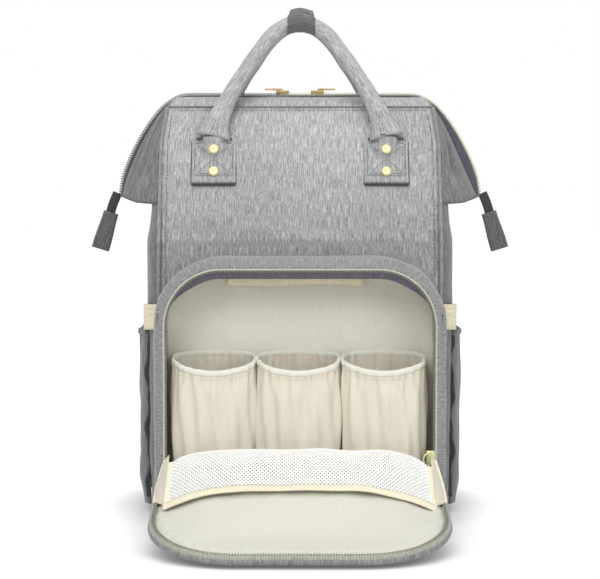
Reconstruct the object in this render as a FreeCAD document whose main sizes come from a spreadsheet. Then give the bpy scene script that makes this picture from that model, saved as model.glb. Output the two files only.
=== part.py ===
"""Baby-care backpack with a wire-framed mouth, a fold-down front pocket for three bottles and two grab handles.

Frame: millimetres, +Z up, the base rests on z = 0, the main compartment is centred on x = y = 0 and the front
faces -Y.  The mouth halves are zipped shut, the front pocket's flap lies open on the ground in front.
"""
import FreeCAD, Part
import math
import os
from FreeCAD import Placement, Rotation, Vector
from Sketcher import Constraint

X_AXIS = Vector(1, 0, 0)
Y_AXIS = Vector(0, 1, 0)
Z_AXIS = Vector(0, 0, 1)

SIZES = [
    # main compartment
    ("body_width", 282, "outside width of the main compartment"),
    ("body_depth", 150, "outside depth of the main compartment"),
    ("corner_radius", 16, "upright corners of the main compartment"),
    ("seam_inset", 10, "front seam, from the side of the body"),
    ("shell_wall", 4, "padded front and side cloth"),
    ("back_wall", 8, "padded back"),
    ("base_wall", 4, "base cloth and foam"),
    ("board_thick", 3, "stiff insert on the base"),
    ("board_inset", 2, "insert, inside the lining"),
    ("board_corner", 10, "upright corners of the insert"),
    ("lining_thick", 1.2, "lining cloth"),
    ("soft_gap", 0.3, "room between soft pieces that lie together"),
    ("piping_radius", 1.8, "piping cord in the seams"),
    # mouth
    ("fold_height", 262, "where the mouth panels start to lean in"),
    ("seam_height", 388, "seam between a mouth panel and its top band"),
    ("seam_depth", 20, "that seam, from the middle of the bag"),
    ("mouth_height", 399, "zip line"),
    ("zip_half_gap", 2.5, "edge of each top band, from the middle of the bag"),
    ("zip_half_length", 119, "half the straight top run of the zip"),
    ("panel_half_width", 130, "half width of a mouth panel"),
    ("wing_base", 298, "underside of the wings"),
    ("wing_tip_height", 303, "height of the wing tips"),
    ("wing_reach", 175, "wing tips, from the middle of the bag"),
    ("wing_wall", 3, "wing cloth"),
    ("band_wall", 2, "top band cloth"),
    ("wire_radius", 1.6, "steel wire of the mouth frame"),
    ("wire_inset", 11, "wire, inside the zip line of the wings"),
    ("wire_out", 6, "wire, from the middle plane"),
    ("wire_clear", 4.3992, "wire, below the underside of its band"),
    ("teeth_height", 3, "zip chain"),
    ("teeth_half_width", 2.1, "each half of the zip chain"),
    ("chain_gap", 0.7, "each half chain, from the middle plane"),
    # front pocket
    ("pocket_half_width", 130, "half width of the front pocket"),
    ("pocket_base", 4, "underside of the front pocket"),
    ("pocket_top", 242, "top of the front pocket"),
    ("pocket_corner", 58, "upper corners of the front pocket"),
    ("pocket_depth", 52, "front pocket, from the front panel"),
    ("gusset_wall", 3, "front pocket gusset"),
    ("kick_height", 45, "fixed strip below the flap"),
    ("opening_half_width", 121, "half width of the front pocket's zip"),
    ("tape_thick", 1, "zip tape"),
    ("bottle_height", 105, "bottle pockets, above their floor"),
    ("bottle_width", 75, "outside width of a bottle pocket"),
    ("bottle_depth", 53, "outside depth of a bottle pocket"),
    ("bottle_pitch", 79, "between bottle pockets"),
    ("bottle_wall", 1.5, "bottle pocket cloth"),
    ("elastic_height", 7, "elastic rim of a bottle pocket"),
    ("elastic_thick", 1, "elastic rim, outside the cloth"),
    # flap
    ("hinge_height", 50, "hinge line of the flap"),
    ("hinge_out", 54, "hinge line, from the front panel"),
    ("hinge_gap", 2, "flap, beyond its hinge line"),
    ("flap_drop", 5, "rim of the flap, outside its hinge line"),
    ("flap_length", 182, "flap, from its hinge line"),
    ("flap_half_width", 128, "half width of the flap"),
    ("flap_corner", 76, "outer corners of the flap"),
    ("flap_rim", 10, "height of the flap's rim"),
    ("flap_wall", 3, "flap cloth"),
    ("mesh_gap", 5.5, "room inside the mesh pocket"),
    ("mesh_thick", 0.8, "mesh cloth"),
    ("mesh_start", 6, "mesh, from the hinge line"),
    ("mesh_length", 92, "mesh, along the flap"),
    ("binding_width", 9, "binding on the mesh"),
    # sides
    ("side_pocket_out", 14, "side pocket, beyond the side of the body"),
    ("side_pocket_depth", 118, "side pocket, front to back"),
    ("side_pocket_height", 172, "side pocket, above the ground"),
    ("side_pocket_wall", 2.5, "side pocket cloth"),
    ("tab_height", 24, "side tab webbing"),
    ("tab_base", 177, "lower edge of the side tab"),
    ("tab_thick", 1.6, "side tab webbing"),
    ("tab_start", 4.5, "side tab, beyond the front seam"),
    ("tab_run", 32, "rear end of the side tab, from the front of the body"),
    # handles
    ("handle_x", 82, "handle ends, from the middle"),
    ("patch_width", 42, "handle patch"),
    ("patch_length", 44, "handle patch"),
    ("patch_thick", 3, "handle patch"),
    ("patch_low", 56, "handle patch, above the fold along the panel"),
    ("rivet_radius", 4.2, "rivet head"),
    ("rivet_thick", 1.2, "rivet head"),
    ("rivet_pitch", 21, "between the two rivets of a patch"),
    ("rivet_shank", 1.5, "rivet shank radius"),
    ("handle_top", 469, "middle of the grip"),
    ("handle_pivot", 360, "height at which a handle leaves its patch"),
    ("handle_out", 41.5, "handle ends, from the middle plane"),
    ("grip_y", 9, "grip, from the middle plane"),
    ("grip_radius", 7.6, "grip"),
    ("wrap_length", 25, "sleeve round the grip"),
    ("wrap_wall", 1.6, "sleeve cloth"),
    ("wrap_flap_length", 21, "free end of the sleeve"),
    # zip sliders
    ("slider_length", 13, "zip slider"),
    ("slider_width", 9, "zip slider"),
    ("slider_plate", 1.5, "zip slider plates"),
    ("slider_web", 0.8, "zip slider web between the chains"),
    ("slider_room", 0.4, "slider over the chain"),
    ("slider_x", 17, "rest place of each slider, from the middle"),
    ("pull_length", 17, "zip pull"),
    ("pull_width", 7, "zip pull"),
    ("pull_thick", 1.6, "zip pull"),
    # zip ends
    ("tail_width", 9, "zip tape beyond the wing tip"),
    ("tail_thick", 2, "zip tape beyond the wing tip"),
    ("tail_length", 25, "zip tape beyond the wing tip"),
    ("tail_tilt", 17, "zip ends, from plumb, in degrees"),
    ("tab_end_width", 15, "cloth tab on the zip end"),
    ("tab_end_thick", 6, "cloth tab on the zip end"),
    ("tab_end_length", 36, "cloth tab on the zip end"),
    # shoulder straps
    ("strap_x", 52, "shoulder straps at the top, from the middle"),
    ("strap_splay", 36, "lower end of a strap, further out"),
    ("strap_width", 62, "shoulder strap"),
    ("strap_thick", 11, "shoulder strap pad"),
    ("strap_top", 250, "upper end of a strap"),
    ("strap_end", 95, "lower end of a strap pad"),
    ("strap_corner", 4.5, "rounded edges of a strap pad"),
    ("strap_out", 2.3, "strap pad, off the back"),
    ("yoke_width", 190, "bar across the tops of the straps"),
    ("yoke_height", 26, "bar across the tops of the straps"),
    ("yoke_thick", 2, "bar across the tops of the straps"),
    ("yoke_drop", 18, "lower edge of that bar, below the strap tops"),
    ("webbing_splay", 34, "lower end of the webbing, further out than the strap's"),
    ("anchor_thick", 3.4, "sewn ends of the webbing"),
    ("anchor_length", 18, "lower sewn end of the webbing"),
    ("bridge_length", 14, "upper sewn end of the webbing"),
    ("webbing_width", 25, "strap webbing"),
    ("webbing_thick", 1.8, "strap webbing"),
    ("webbing_low", 22, "lower end of the webbing"),
    ("adjuster_height", 24, "strap adjuster"),
    ("adjuster_wall", 3.4, "strap adjuster"),
    ("adjuster_thick", 6.8, "strap adjuster"),
    ("adjuster_room", 0.4, "strap adjuster, round the webbing"),
    ("adjuster_down", 44, "rest place of the adjuster, down the webbing"),
]

doc = FreeCAD.newDocument("DiaperBag")
sheet = doc.addObject("Spreadsheet::Sheet", "Sizes")
for row, (alias, value, note) in enumerate(SIZES, start=1):
    sheet.set(f"A{row}", note)
    sheet.set(f"B{row}", str(value))
    sheet.setAlias(f"B{row}", alias)
doc.recompute()


def size(alias):
    """A driving size, read back from the sheet."""
    return float(sheet.get(alias))


def in_sheet(text):
    """An expression with every driving size written as a cell of the sheet."""
    words = {alias for alias, _, _ in SIZES}
    out, word = [], ""
    for letter in text + " ":
        if letter.isalnum() or letter == "_":
            word += letter
            continue
        out.append("Sizes." + word if word in words else word)
        out.append(letter)
        word = ""
    return "".join(out).strip()


def bind(obj, **properties):
    """Ties properties of an object to expressions on the sheet."""
    for name, text in properties.items():
        obj.setExpression(name, in_sheet(text))
    return obj


def place(obj, x="0", y="0", z="0", axis=X_AXIS, angle=0.0):
    """Turns an object, and ties its position to the sheet."""
    obj.Placement = Placement(Vector(), Rotation(axis, angle))
    for key, text in (("x", x), ("y", y), ("z", z)):
        obj.setExpression(f".Placement.Base.{key}", in_sheet(text))
    return obj


def add(kind, label):
    obj = doc.addObject(kind, label)
    obj.Label = label
    return obj


def box(label, length, width, height, **where):
    obj = bind(add("Part::Box", label), Length=length, Width=width, Height=height)
    return place(obj, **where)


def cylinder(label, radius, height, **where):
    return place(bind(add("Part::Cylinder", label), Radius=radius, Height=height), **where)


def cut(label, base, tool):
    obj = add("Part::Cut", label)
    obj.Base, obj.Tool = base, tool
    return obj


def common(label, base, tool):
    obj = add("Part::Common", label)
    obj.Base, obj.Tool = base, tool
    return obj


def group(label, members):
    obj = add("Part::Compound", label)
    obj.Links = members
    return obj


def fuse(label, members):
    obj = add("Part::MultiFuse", label)
    obj.Shapes = members
    return obj


def feature(label, shape):
    obj = add("Part::Feature", label)
    obj.Shape = shape
    return obj


def mirrored(label, source, normal):
    """The same piece on the other side of the plane through the origin."""
    obj = add("Part::Mirroring", label)
    obj.Source, obj.Base, obj.Normal = source, Vector(), normal
    return obj


def upright_rounded(label, base, radius):
    """Rounds the four upright edges of a box."""
    doc.recompute()
    obj = add("Part::Fillet", label)
    obj.Base = base
    upright = [
        number
        for number, edge in enumerate(base.Shape.Edges, start=1)
        if abs(edge.tangentAt(edge.FirstParameter).z) > 0.99
    ]
    obj.Edges = [(number, radius, radius) for number in upright]
    return obj


def arch_sketch(body, name, half_width, bottom, top, corner):
    """A profile on the body's XZ plane: flat foot, upright sides and a top with two round corners."""
    plane = [f for f in body.Origin.OriginFeatures if f.Role == "XZ_Plane"][0]
    sketch = body.newObject("Sketcher::SketchObject", name)
    sketch.AttachmentSupport = [(plane, "")]
    sketch.MapMode = "FlatFace"
    w, low, high, r = half_width, bottom, top, corner
    line, centre = Part.LineSegment, Vector(w - r, high - r, 0)
    right = Part.ArcOfCircle(Part.Circle(centre, Z_AXIS, r), 0, math.pi / 2)
    left = Part.ArcOfCircle(Part.Circle(Vector(-centre.x, centre.y, 0), Z_AXIS, r), math.pi / 2, math.pi)
    sketch.addGeometry(
        [
            line(Vector(-w, low, 0), Vector(w, low, 0)),
            line(Vector(w, low, 0), Vector(w, high - r, 0)),
            right,
            line(Vector(w - r, high, 0), Vector(r - w, high, 0)),
            left,
            line(Vector(-w, high - r, 0), Vector(-w, low, 0)),
        ]
    )
    sketch.addConstraint(
        [
            Constraint("Coincident", 0, 2, 1, 1),
            Constraint("Tangent", 1, 2, 2, 1),
            Constraint("Tangent", 2, 2, 3, 1),
            Constraint("Tangent", 3, 2, 4, 1),
            Constraint("Tangent", 4, 2, 5, 1),
            Constraint("Coincident", 5, 2, 0, 1),
            Constraint("Horizontal", 3),
            Constraint("Vertical", 1),
            Constraint("Vertical", 5),
            Constraint("Symmetric", 0, 1, 0, 2, -2),
            Constraint("Equal", 2, 4),
        ]
    )
    return sketch


def arch_pad(body, name, kind, depth, half_width, bottom, top, corner):
    """Pads or pockets an arch profile; its four sizes are tied to the sheet."""
    values = [worked_out(text) for text in (half_width, bottom, top, corner)]
    sketch = arch_sketch(body, name + "_outline", *values)
    dims = [
        ("width", Constraint("DistanceX", 0, 1, 0, 2, 2 * values[0]), f"2 * ({half_width})"),
        ("foot", Constraint("DistanceY", -1, 1, 0, 1, values[1]), bottom),
        ("crown", Constraint("DistanceY", -1, 1, 3, 1, values[2]), top),
        ("corner", Constraint("Radius", 2, values[3]), corner),
    ]
    for word, item, text in dims:
        index = sketch.addConstraint(item)
        sketch.renameConstraint(index, word)
        sketch.setExpression(f"Constraints.{word}", in_sheet(text))
    result = body.newObject(kind, name)
    result.Profile = sketch
    if kind == "PartDesign::Pocket":
        result.Reversed = True
    return bind(result, Length=depth)


def worked_out(text):
    """The value of an expression on the driving sizes."""
    probe = doc.getObject("probe")
    if probe is None:
        probe = doc.addObject("App::FeaturePython", "probe")
        probe.addProperty("App::PropertyFloat", "Value")
    probe.setExpression("Value", in_sheet(text))
    doc.recompute([probe])
    return float(probe.Value)


def plate(label, points, depth, inward=False, **where):
    """A flat piece: a polygon on the XZ plane, every corner tied to the sheet, padded towards the front."""
    body = add("PartDesign::Body", label)
    plane = [f for f in body.Origin.OriginFeatures if f.Role == "XZ_Plane"][0]
    sketch = body.newObject("Sketcher::SketchObject", label + "_outline")
    sketch.AttachmentSupport = [(plane, "")]
    sketch.MapMode = "FlatFace"
    spots = [Vector(worked_out(x), worked_out(z), 0) for x, z in points]
    count = len(spots)
    sketch.addGeometry([Part.LineSegment(spots[i], spots[(i + 1) % count]) for i in range(count)])
    sketch.addConstraint([Constraint("Coincident", i, 2, (i + 1) % count, 1) for i in range(count)])
    for i, (x, z) in enumerate(points):
        across = sketch.addConstraint(Constraint("DistanceX", -1, 1, i, 1, spots[i].x))
        up = sketch.addConstraint(Constraint("DistanceY", -1, 1, i, 1, spots[i].y))
        for index, word, text in ((across, f"x{i}", x), (up, f"z{i}", z)):
            sketch.renameConstraint(index, word)
            sketch.setExpression(f"Constraints.{word}", in_sheet(text))
    pad = body.newObject("PartDesign::Pad", label + "_pad")
    pad.Profile = sketch
    pad.Reversed = inward
    bind(pad, Length=depth)
    return place(body, **where)


def arch_body(label, depth, outer, inner=None, floor="0", **where):
    """An arch-shaped plate, or a ring or tray where a smaller arch is cut out of it down to a floor."""
    body = add("PartDesign::Body", label)
    arch_pad(body, label + "_pad", "PartDesign::Pad", depth, *outer)
    doc.recompute()
    if inner:
        arch_pad(body, label + "_cut", "PartDesign::Pocket", f"({depth}) - ({floor})", *inner)
    return place(body, **where)


def hull(points):
    """The convex solid round a few points."""
    found = {}
    for i, a in enumerate(points):
        for j, b in enumerate(points[i + 1 :], i + 1):
            for c in points[j + 1 :]:
                normal = (b - a).cross(c - a)
                if normal.Length < 1e-6:
                    continue
                normal.normalize()
                sides = [(p - a).dot(normal) for p in points]
                if max(sides) > 1e-6 and min(sides) < -1e-6:
                    continue
                flat = tuple(k for k, side in enumerate(sides) if abs(side) <= 1e-6)
                found[flat] = normal
    faces = []
    for flat, normal in found.items():
        corners = [points[k] for k in flat]
        middle = sum(corners, Vector()) * (1.0 / len(corners))
        first = (corners[0] - middle).normalize()
        second = normal.cross(first)
        corners.sort(key=lambda p: math.atan2((p - middle).dot(second), (p - middle).dot(first)))
        faces.append(Part.Face(Part.makePolygon(corners + corners[:1])))
    solid = Part.Solid(Part.Shell(faces))
    if solid.Volume < 0:
        solid.reverse()
    return solid


def rod(points, radius):
    """A round rod through a few points, with ball corners."""
    pieces = []
    for start, end in zip(points, points[1:]):
        run = end - start
        pieces.append(Part.makeCylinder(radius, run.Length, start, run))
    balls = [Part.makeSphere(radius, corner) for corner in points[1:-1]]
    return pieces[0].multiFuse(pieces[1:] + balls)


def tube(points, radius):
    """A round tube along a smooth curve through the points."""
    curve = Part.BSplineCurve()
    curve.interpolate(points)
    path = Part.Wire(curve.toShape())
    start = path.Edges[0]
    along = start.tangentAt(start.FirstParameter)
    ring = Part.Wire(Part.makeCircle(radius, points[0], along))
    return path.makePipeShell([ring], True, True)


NODES = []


def node(obj):
    """Marks a piece of the bag."""
    NODES.append(obj)
    return obj


# ---------------------------------------------------------------- main compartment
outer = box(
    "body_block", "body_width", "body_depth", "fold_height - 1 - base_wall",
    x="-body_width / 2", y="-body_depth / 2", z="base_wall",
)  # fmt: skip
outer_round = upright_rounded("body_round", outer, size("corner_radius"))
hollow = box(
    "body_hollow", "body_width - 2 * shell_wall", "body_depth - shell_wall - back_wall", "fold_height",
    x="shell_wall - body_width / 2", y="shell_wall - body_depth / 2", z="0",
)  # fmt: skip
hollow_round = upright_rounded("hollow_round", hollow, size("corner_radius") - size("shell_wall"))
ring = cut("body_ring", outer_round, hollow_round)
SEAM = "(body_width / 2 - seam_inset)"
front_zone = box(
    "front_zone", f"2 * {SEAM}", "body_depth / 4", "fold_height",
    x=f"-{SEAM}", y="-body_depth / 2", z="0",
)  # fmt: skip
back_zone = box(
    "back_zone", f"2 * {SEAM}", "body_depth / 4", "fold_height",
    x=f"-{SEAM}", y="body_depth / 4", z="0",
)  # fmt: skip
side_zone = box("side_zone", "seam_inset + 40", "body_depth", "fold_height", x=SEAM, y="-body_depth / 2", z="0")
node(common("front_panel", ring, front_zone))
node(common("back_panel", ring, back_zone))
side_wall = common("side_wall", ring, side_zone)
LEAN = math.atan2(size("body_depth") / 2 - size("seam_depth"), size("seam_height") - size("fold_height"))
LEAN_SLOPE = "(body_depth / 2 - seam_depth) / (seam_height - fold_height)"
SIDE_TOP = "wing_base - 1"
side_top = plate(
    "side_top",
    [
        ("-body_depth / 2 + 14", "fold_height - 2"),
        ("body_depth / 2 - 14", "fold_height - 2"),
        (f"body_depth / 2 - 14 - (wing_base - fold_height) * {LEAN_SLOPE}", SIDE_TOP),
        (f"14 + (wing_base - fold_height) * {LEAN_SLOPE} - body_depth / 2", SIDE_TOP),
    ],
    "shell_wall",
    axis=Z_AXIS, angle=90, x="body_width / 2 - shell_wall",
)  # fmt: skip
right_side = node(fuse("side_panel_right", [side_wall, side_top]))
node(mirrored("side_panel_left", right_side, X_AXIS))
base = box(
    "base_block", "body_width", "body_depth", "base_wall",
    x="-body_width / 2", y="-body_depth / 2", z="0",
)  # fmt: skip
base_round = upright_rounded("base_round", base, size("corner_radius"))
node(group("base_panel", [base_round]))
ROOM = "(shell_wall + soft_gap)"
board = box(
    "board_block", f"body_width - 2 * {ROOM} - 2 * board_inset",
    "body_depth - back_wall - shell_wall - 2 * board_inset", "board_thick",
    x=f"{ROOM} + board_inset - body_width / 2", y="shell_wall + board_inset - body_depth / 2",
    z="base_wall + soft_gap",
)  # fmt: skip
board_round = upright_rounded("board_round", board, size("board_corner"))
node(group("base_board", [board_round]))
LINING_TOP = "(fold_height - 7)"
lining_out = box(
    "lining_out", f"body_width - 2 * {ROOM}", "body_depth - shell_wall - back_wall - 2 * soft_gap",
    f"{LINING_TOP} - 8", x=f"{ROOM} - body_width / 2", y=f"{ROOM} - body_depth / 2", z="8",
)  # fmt: skip
lining_out_round = upright_rounded("lining_out_round", lining_out, 11)
lining_in = box(
    "lining_in", f"body_width - 2 * {ROOM} - 2 * lining_thick",
    "body_depth - shell_wall - back_wall - 2 * soft_gap - 2 * lining_thick", "fold_height",
    x=f"{ROOM} + lining_thick - body_width / 2", y=f"{ROOM} + lining_thick - body_depth / 2",
    z="8 + lining_thick",
)  # fmt: skip
lining_in_round = upright_rounded("lining_in_round", lining_in, 9.8)
node(cut("main_lining", lining_out_round, lining_in_round))

# piping cords in the two front seams, joined along the foot
cord_y = -size("body_depth") / 2 - size("piping_radius")
cord_x = size("body_width") / 2 - size("seam_inset") + 2
cord_low = size("base_wall") + size("piping_radius")
cord_top = size("fold_height") - 4
cord_path = [
    Vector(-cord_x, cord_y, cord_top),
    Vector(-cord_x, cord_y, cord_low),
    Vector(cord_x, cord_y, cord_low),
    Vector(cord_x, cord_y, cord_top),
]
node(feature("front_piping", rod(cord_path, size("piping_radius"))))

# ---------------------------------------------------------------- front pocket
FRONT = "-body_depth / 2"
POCKET_OUT = ("pocket_half_width", "pocket_base", "pocket_top", "pocket_corner")
POCKET_IN = (
    "pocket_half_width - gusset_wall",
    "pocket_base + gusset_wall",
    "pocket_top - gusset_wall",
    "pocket_corner - gusset_wall",
)
gusset = arch_body("gusset_ring", "pocket_depth", POCKET_OUT, POCKET_IN, y=FRONT)
cord_room = box(
    "cord_room", "2 * pocket_half_width + 20", "2 * piping_radius + soft_gap", "2 * piping_radius + 5",
    x="-pocket_half_width - 10", y=f"{FRONT} - 2 * piping_radius - soft_gap", z="base_wall - 5 + soft_gap",
)  # fmt: skip
node(cut("pocket_gusset", gusset, cord_room))
node(arch_body("pocket_back_lining", "lining_thick", (POCKET_IN[0], "20", POCKET_IN[2], POCKET_IN[3]), y=FRONT))
KICK_FOOT = "(pocket_base + gusset_wall)"
node(
    box(
        "pocket_kick_panel", "2 * (pocket_half_width - gusset_wall)", "gusset_wall",
        f"kick_height - {KICK_FOOT}", x="gusset_wall - pocket_half_width",
        y=f"{FRONT} - pocket_depth", z=KICK_FOOT,
    )
)  # fmt: skip
TAPE_IN = ("opening_half_width", "0", "pocket_top + opening_half_width - pocket_half_width", "pocket_corner - 9")
tape = arch_body("tape_ring", "tape_thick", POCKET_OUT, TAPE_IN, y=f"{FRONT} - pocket_depth")
low_room = box(
    "low_room", "300", "60", "hinge_height + 20",
    x="-150", y=f"{FRONT} - pocket_depth - 30", z="-14",
)  # fmt: skip
node(cut("pocket_zip_tape", tape, low_room))
TEETH_OUT = ("opening_half_width + 3", "0", "pocket_top - 6", "pocket_corner - 6")
TEETH_IN = (TAPE_IN[0], "-1", TAPE_IN[2], TAPE_IN[3])
teeth = arch_body("teeth_ring", "2.3", TEETH_OUT, TEETH_IN, y=f"{FRONT} - pocket_depth - tape_thick")
node(cut("pocket_zip_teeth", teeth, low_room))

rims = []
cup_back = f"{FRONT} - lining_thick - soft_gap"
cup_floor = "(kick_height + 3)"
for side, name in ((-1, "left"), (0, "centre"), (1, "right")):
    middle = f"{side} * bottle_pitch"
    block = box(
        f"cup_block_{name}", "bottle_width", "bottle_depth", "bottle_height",
        x=f"{middle} - bottle_width / 2", y=f"{cup_back} - bottle_depth", z=cup_floor,
    )  # fmt: skip
    inside = box(
        f"cup_inside_{name}", "bottle_width - 2 * bottle_wall", "bottle_depth - 2 * bottle_wall", "bottle_height",
        x=f"{middle} - bottle_width / 2 + bottle_wall", y=f"{cup_back} - bottle_depth + bottle_wall",
        z=f"{cup_floor} + bottle_wall",
    )  # fmt: skip
    round_block = upright_rounded(f"cup_round_{name}", block, 22)
    round_inside = upright_rounded(f"cup_room_{name}", inside, 20.5)
    node(cut(f"bottle_pocket_{name}", round_block, round_inside))
    band = box(
        f"rim_block_{name}", "bottle_width + 2 * elastic_thick", "bottle_depth + elastic_thick",
        "elastic_height", x=f"{middle} - bottle_width / 2 - elastic_thick",
        y=f"{cup_back} - bottle_depth - elastic_thick", z=f"{cup_floor} + bottle_height - elastic_height",
    )  # fmt: skip
    band_round = upright_rounded(f"rim_round_{name}", band, 22.5)
    rims.append(cut(f"rim_{name}", band_round, round_block))
node(group("pocket_elastics", rims))

# ---------------------------------------------------------------- sides and back
pocket_block = box(
    "side_pocket_block", "side_pocket_out", "side_pocket_depth", "side_pocket_height - base_wall - 4",
    x="body_width / 2", y="-side_pocket_depth / 2", z="base_wall + 4",
)  # fmt: skip
pocket_room = box(
    "side_pocket_room", "side_pocket_out - side_pocket_wall", "side_pocket_depth - 2 * side_pocket_wall",
    "side_pocket_height", x="body_width / 2", y="side_pocket_wall - side_pocket_depth / 2",
    z="base_wall + 4 + side_pocket_wall",
)  # fmt: skip
right_pocket = node(cut("side_pocket_right", pocket_block, pocket_room))
node(mirrored("side_pocket_left", right_pocket, X_AXIS))

tab_out = box(
    "tab_out", "body_width + 2 * tab_thick", "body_depth + 2 * tab_thick", "tab_height",
    x="-body_width / 2 - tab_thick", y="-body_depth / 2 - tab_thick", z="tab_base",
)  # fmt: skip
tab_out_round = upright_rounded("tab_out_round", tab_out, size("corner_radius") + size("tab_thick"))
tab_ring = cut("tab_ring", tab_out_round, outer_round)
tab_zone = box(
    "tab_zone", "seam_inset + corner_radius", "tab_run + 2 * tab_thick", "tab_height + 2 * tab_thick",
    x=f"{SEAM} + tab_start", y="-body_depth / 2 - 2 * tab_thick", z="tab_base - tab_thick",
)  # fmt: skip
tab_right = common("tab_right", tab_ring, tab_zone)
tab_left = mirrored("tab_left", tab_right, X_AXIS)
node(group("side_tabs", [tab_right, tab_left]))

# shoulder straps on the back
BACK = "body_depth / 2"
yoke = box(
    "yoke", "yoke_width", "yoke_thick", "yoke_height", x="-yoke_width / 2", y=BACK, z="strap_top - yoke_drop"
)  # fmt: skip
strap_turn = -math.degrees(math.atan2(size("strap_splay"), size("strap_top") - size("strap_end")))
pad_run = "sqrt(strap_splay * strap_splay + (strap_top - strap_end) * (strap_top - strap_end))"
pad_block = box("strap_pad_block", "strap_width", "strap_thick", pad_run, x="0", y="0", z="0")
pad_round = upright_rounded("strap_pad_round", pad_block, size("strap_corner"))
TURN = math.radians(-strap_turn)
half_x = f"(strap_width / 2 * {math.cos(TURN):.6f})"
half_z = f"(strap_width / 2 * {math.sin(TURN):.6f})"
right_pad = group("shoulder_strap_right", [pad_round])
place(
    right_pad, axis=Y_AXIS, angle=180 + strap_turn,
    x=f"strap_x + {half_x}", y=f"{BACK} + strap_out", z=f"strap_top + {half_z}",
)  # fmt: skip
node(right_pad)
node(mirrored("shoulder_strap_left", right_pad, X_AXIS))
web_top = Vector(size("strap_x") + size("strap_splay"), 0, size("strap_end") - 3.6)
web_low = Vector(size("strap_x") + size("strap_splay") + size("webbing_splay"), 0, size("webbing_low"))
web_run = web_low - web_top
WEB_TURN = math.degrees(math.atan2(web_run.x, -web_run.z))
webbing = box("webbing_block", "webbing_width", "webbing_thick", f"{web_run.Length:.4f}", x="0", y="0", z="0")


def along_webbing(obj, across, out, down):
    """Sets a piece on the webbing: its corner lies across, out from the back and down the run."""
    turn = math.radians(WEB_TURN)
    spot_x = web_top.x - across * math.cos(turn) + down * math.sin(turn)
    spot_z = web_top.z - across * math.sin(turn) - down * math.cos(turn)
    return place(obj, axis=Y_AXIS, angle=-WEB_TURN, x=f"{spot_x:.5f}", y=f"{BACK} + {out}", z=f"{spot_z:.5f}")


along_webbing(webbing, size("webbing_width") / 2, size("anchor_thick"), web_run.Length)
anchor = box("anchor_block", "webbing_width + 4", "anchor_thick", "anchor_length", x="0", y="0", z="0")
along_webbing(anchor, size("webbing_width") / 2 + 2, 0, web_run.Length)
bridge = box("bridge_block", "webbing_width + 4", "anchor_thick", "bridge_length", x="0", y="0", z="0")
along_webbing(bridge, size("webbing_width") / 2 + 2, 0, size("bridge_length"))
web_right = group("webbing_right", [webbing, anchor, bridge])
web_left = mirrored("webbing_left", web_right, X_AXIS)
node(group("strap_webbings", [web_right, web_left]))
node(group("strap_yoke", [yoke]))
ring_out = box(
    "adjuster_out", "webbing_width + 2 * adjuster_wall", "adjuster_thick", "adjuster_height", x="0", y="0", z="0"
)  # fmt: skip
ring_in = box(
    "adjuster_in", "webbing_width + 2 * adjuster_room", "webbing_thick + 2 * adjuster_room",
    "adjuster_height + 2", x="adjuster_wall - adjuster_room",
    y="(adjuster_thick - webbing_thick) / 2 - adjuster_room", z="-1",
)  # fmt: skip
adjuster = cut("adjuster_ring", ring_out, ring_in)
right_adjuster = group("strap_adjuster_right", [adjuster])
WEB_MIDDLE = size("anchor_thick") + size("webbing_thick") / 2 - size("adjuster_thick") / 2
along_webbing(right_adjuster, size("webbing_width") / 2 + size("adjuster_wall"), WEB_MIDDLE, size("adjuster_down"))
node(right_adjuster)
node(mirrored("strap_adjuster_left", right_adjuster, X_AXIS))

# ---------------------------------------------------------------- mouth halves
FOLD_Y = -size("body_depth") / 2
FOLD_Z = size("fold_height")
LEAN_DEG = math.degrees(LEAN)
PANEL_RUN = math.hypot(-FOLD_Y - size("seam_depth"), size("seam_height") - FOLD_Z)
BAND_BACK = size("zip_half_gap") + 1.7
BAND_RISE = size("mouth_height") - size("seam_height")
BAND_LEAN = math.degrees(math.atan2(size("seam_depth") - BAND_BACK, BAND_RISE))
BAND_RUN = math.hypot(size("seam_depth") - BAND_BACK, BAND_RISE)
WING_FOOT = (size("wing_base") + 2 - FOLD_Z) / math.cos(LEAN)


def on_panel(out, up):
    """World y and z of a spot out from the leaning panel and up along it."""
    y = FOLD_Y + up * math.sin(LEAN) - out * math.cos(LEAN)
    z = FOLD_Z + up * math.cos(LEAN) + out * math.sin(LEAN)
    return y, z


def beside(path, distance):
    """The path moved sideways, to its left."""
    moved = []
    for i, spot in enumerate(path):
        before = (spot - path[i - 1]).normalize() if i else None
        after = (path[i + 1] - spot).normalize() if i + 1 < len(path) else None
        before, after = before or after, after or before
        middle = (Vector(-before.z, 0, before.x) + Vector(-after.z, 0, after.x)).normalize()
        stretch = distance / middle.dot(Vector(-after.z, 0, after.x))
        moved.append(spot + middle * stretch)
    return moved


ZIP_PATH = [
    Vector(-size("wing_reach"), 0, size("wing_tip_height")),
    Vector(-size("zip_half_length"), 0, size("mouth_height")),
    Vector(size("zip_half_length"), 0, size("mouth_height")),
    Vector(size("wing_reach"), 0, size("wing_tip_height")),
]


def along_zip(label, low, high, depth, y):
    """A flat strip beside the zip line, from one distance to another outside it."""
    outline = beside(ZIP_PATH, high) + beside(ZIP_PATH, low)[::-1]
    spots = [(f"{spot.x:.5f}", f"{spot.z:.5f}") for spot in outline]
    return plate(label, spots, depth, y=y)


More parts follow.
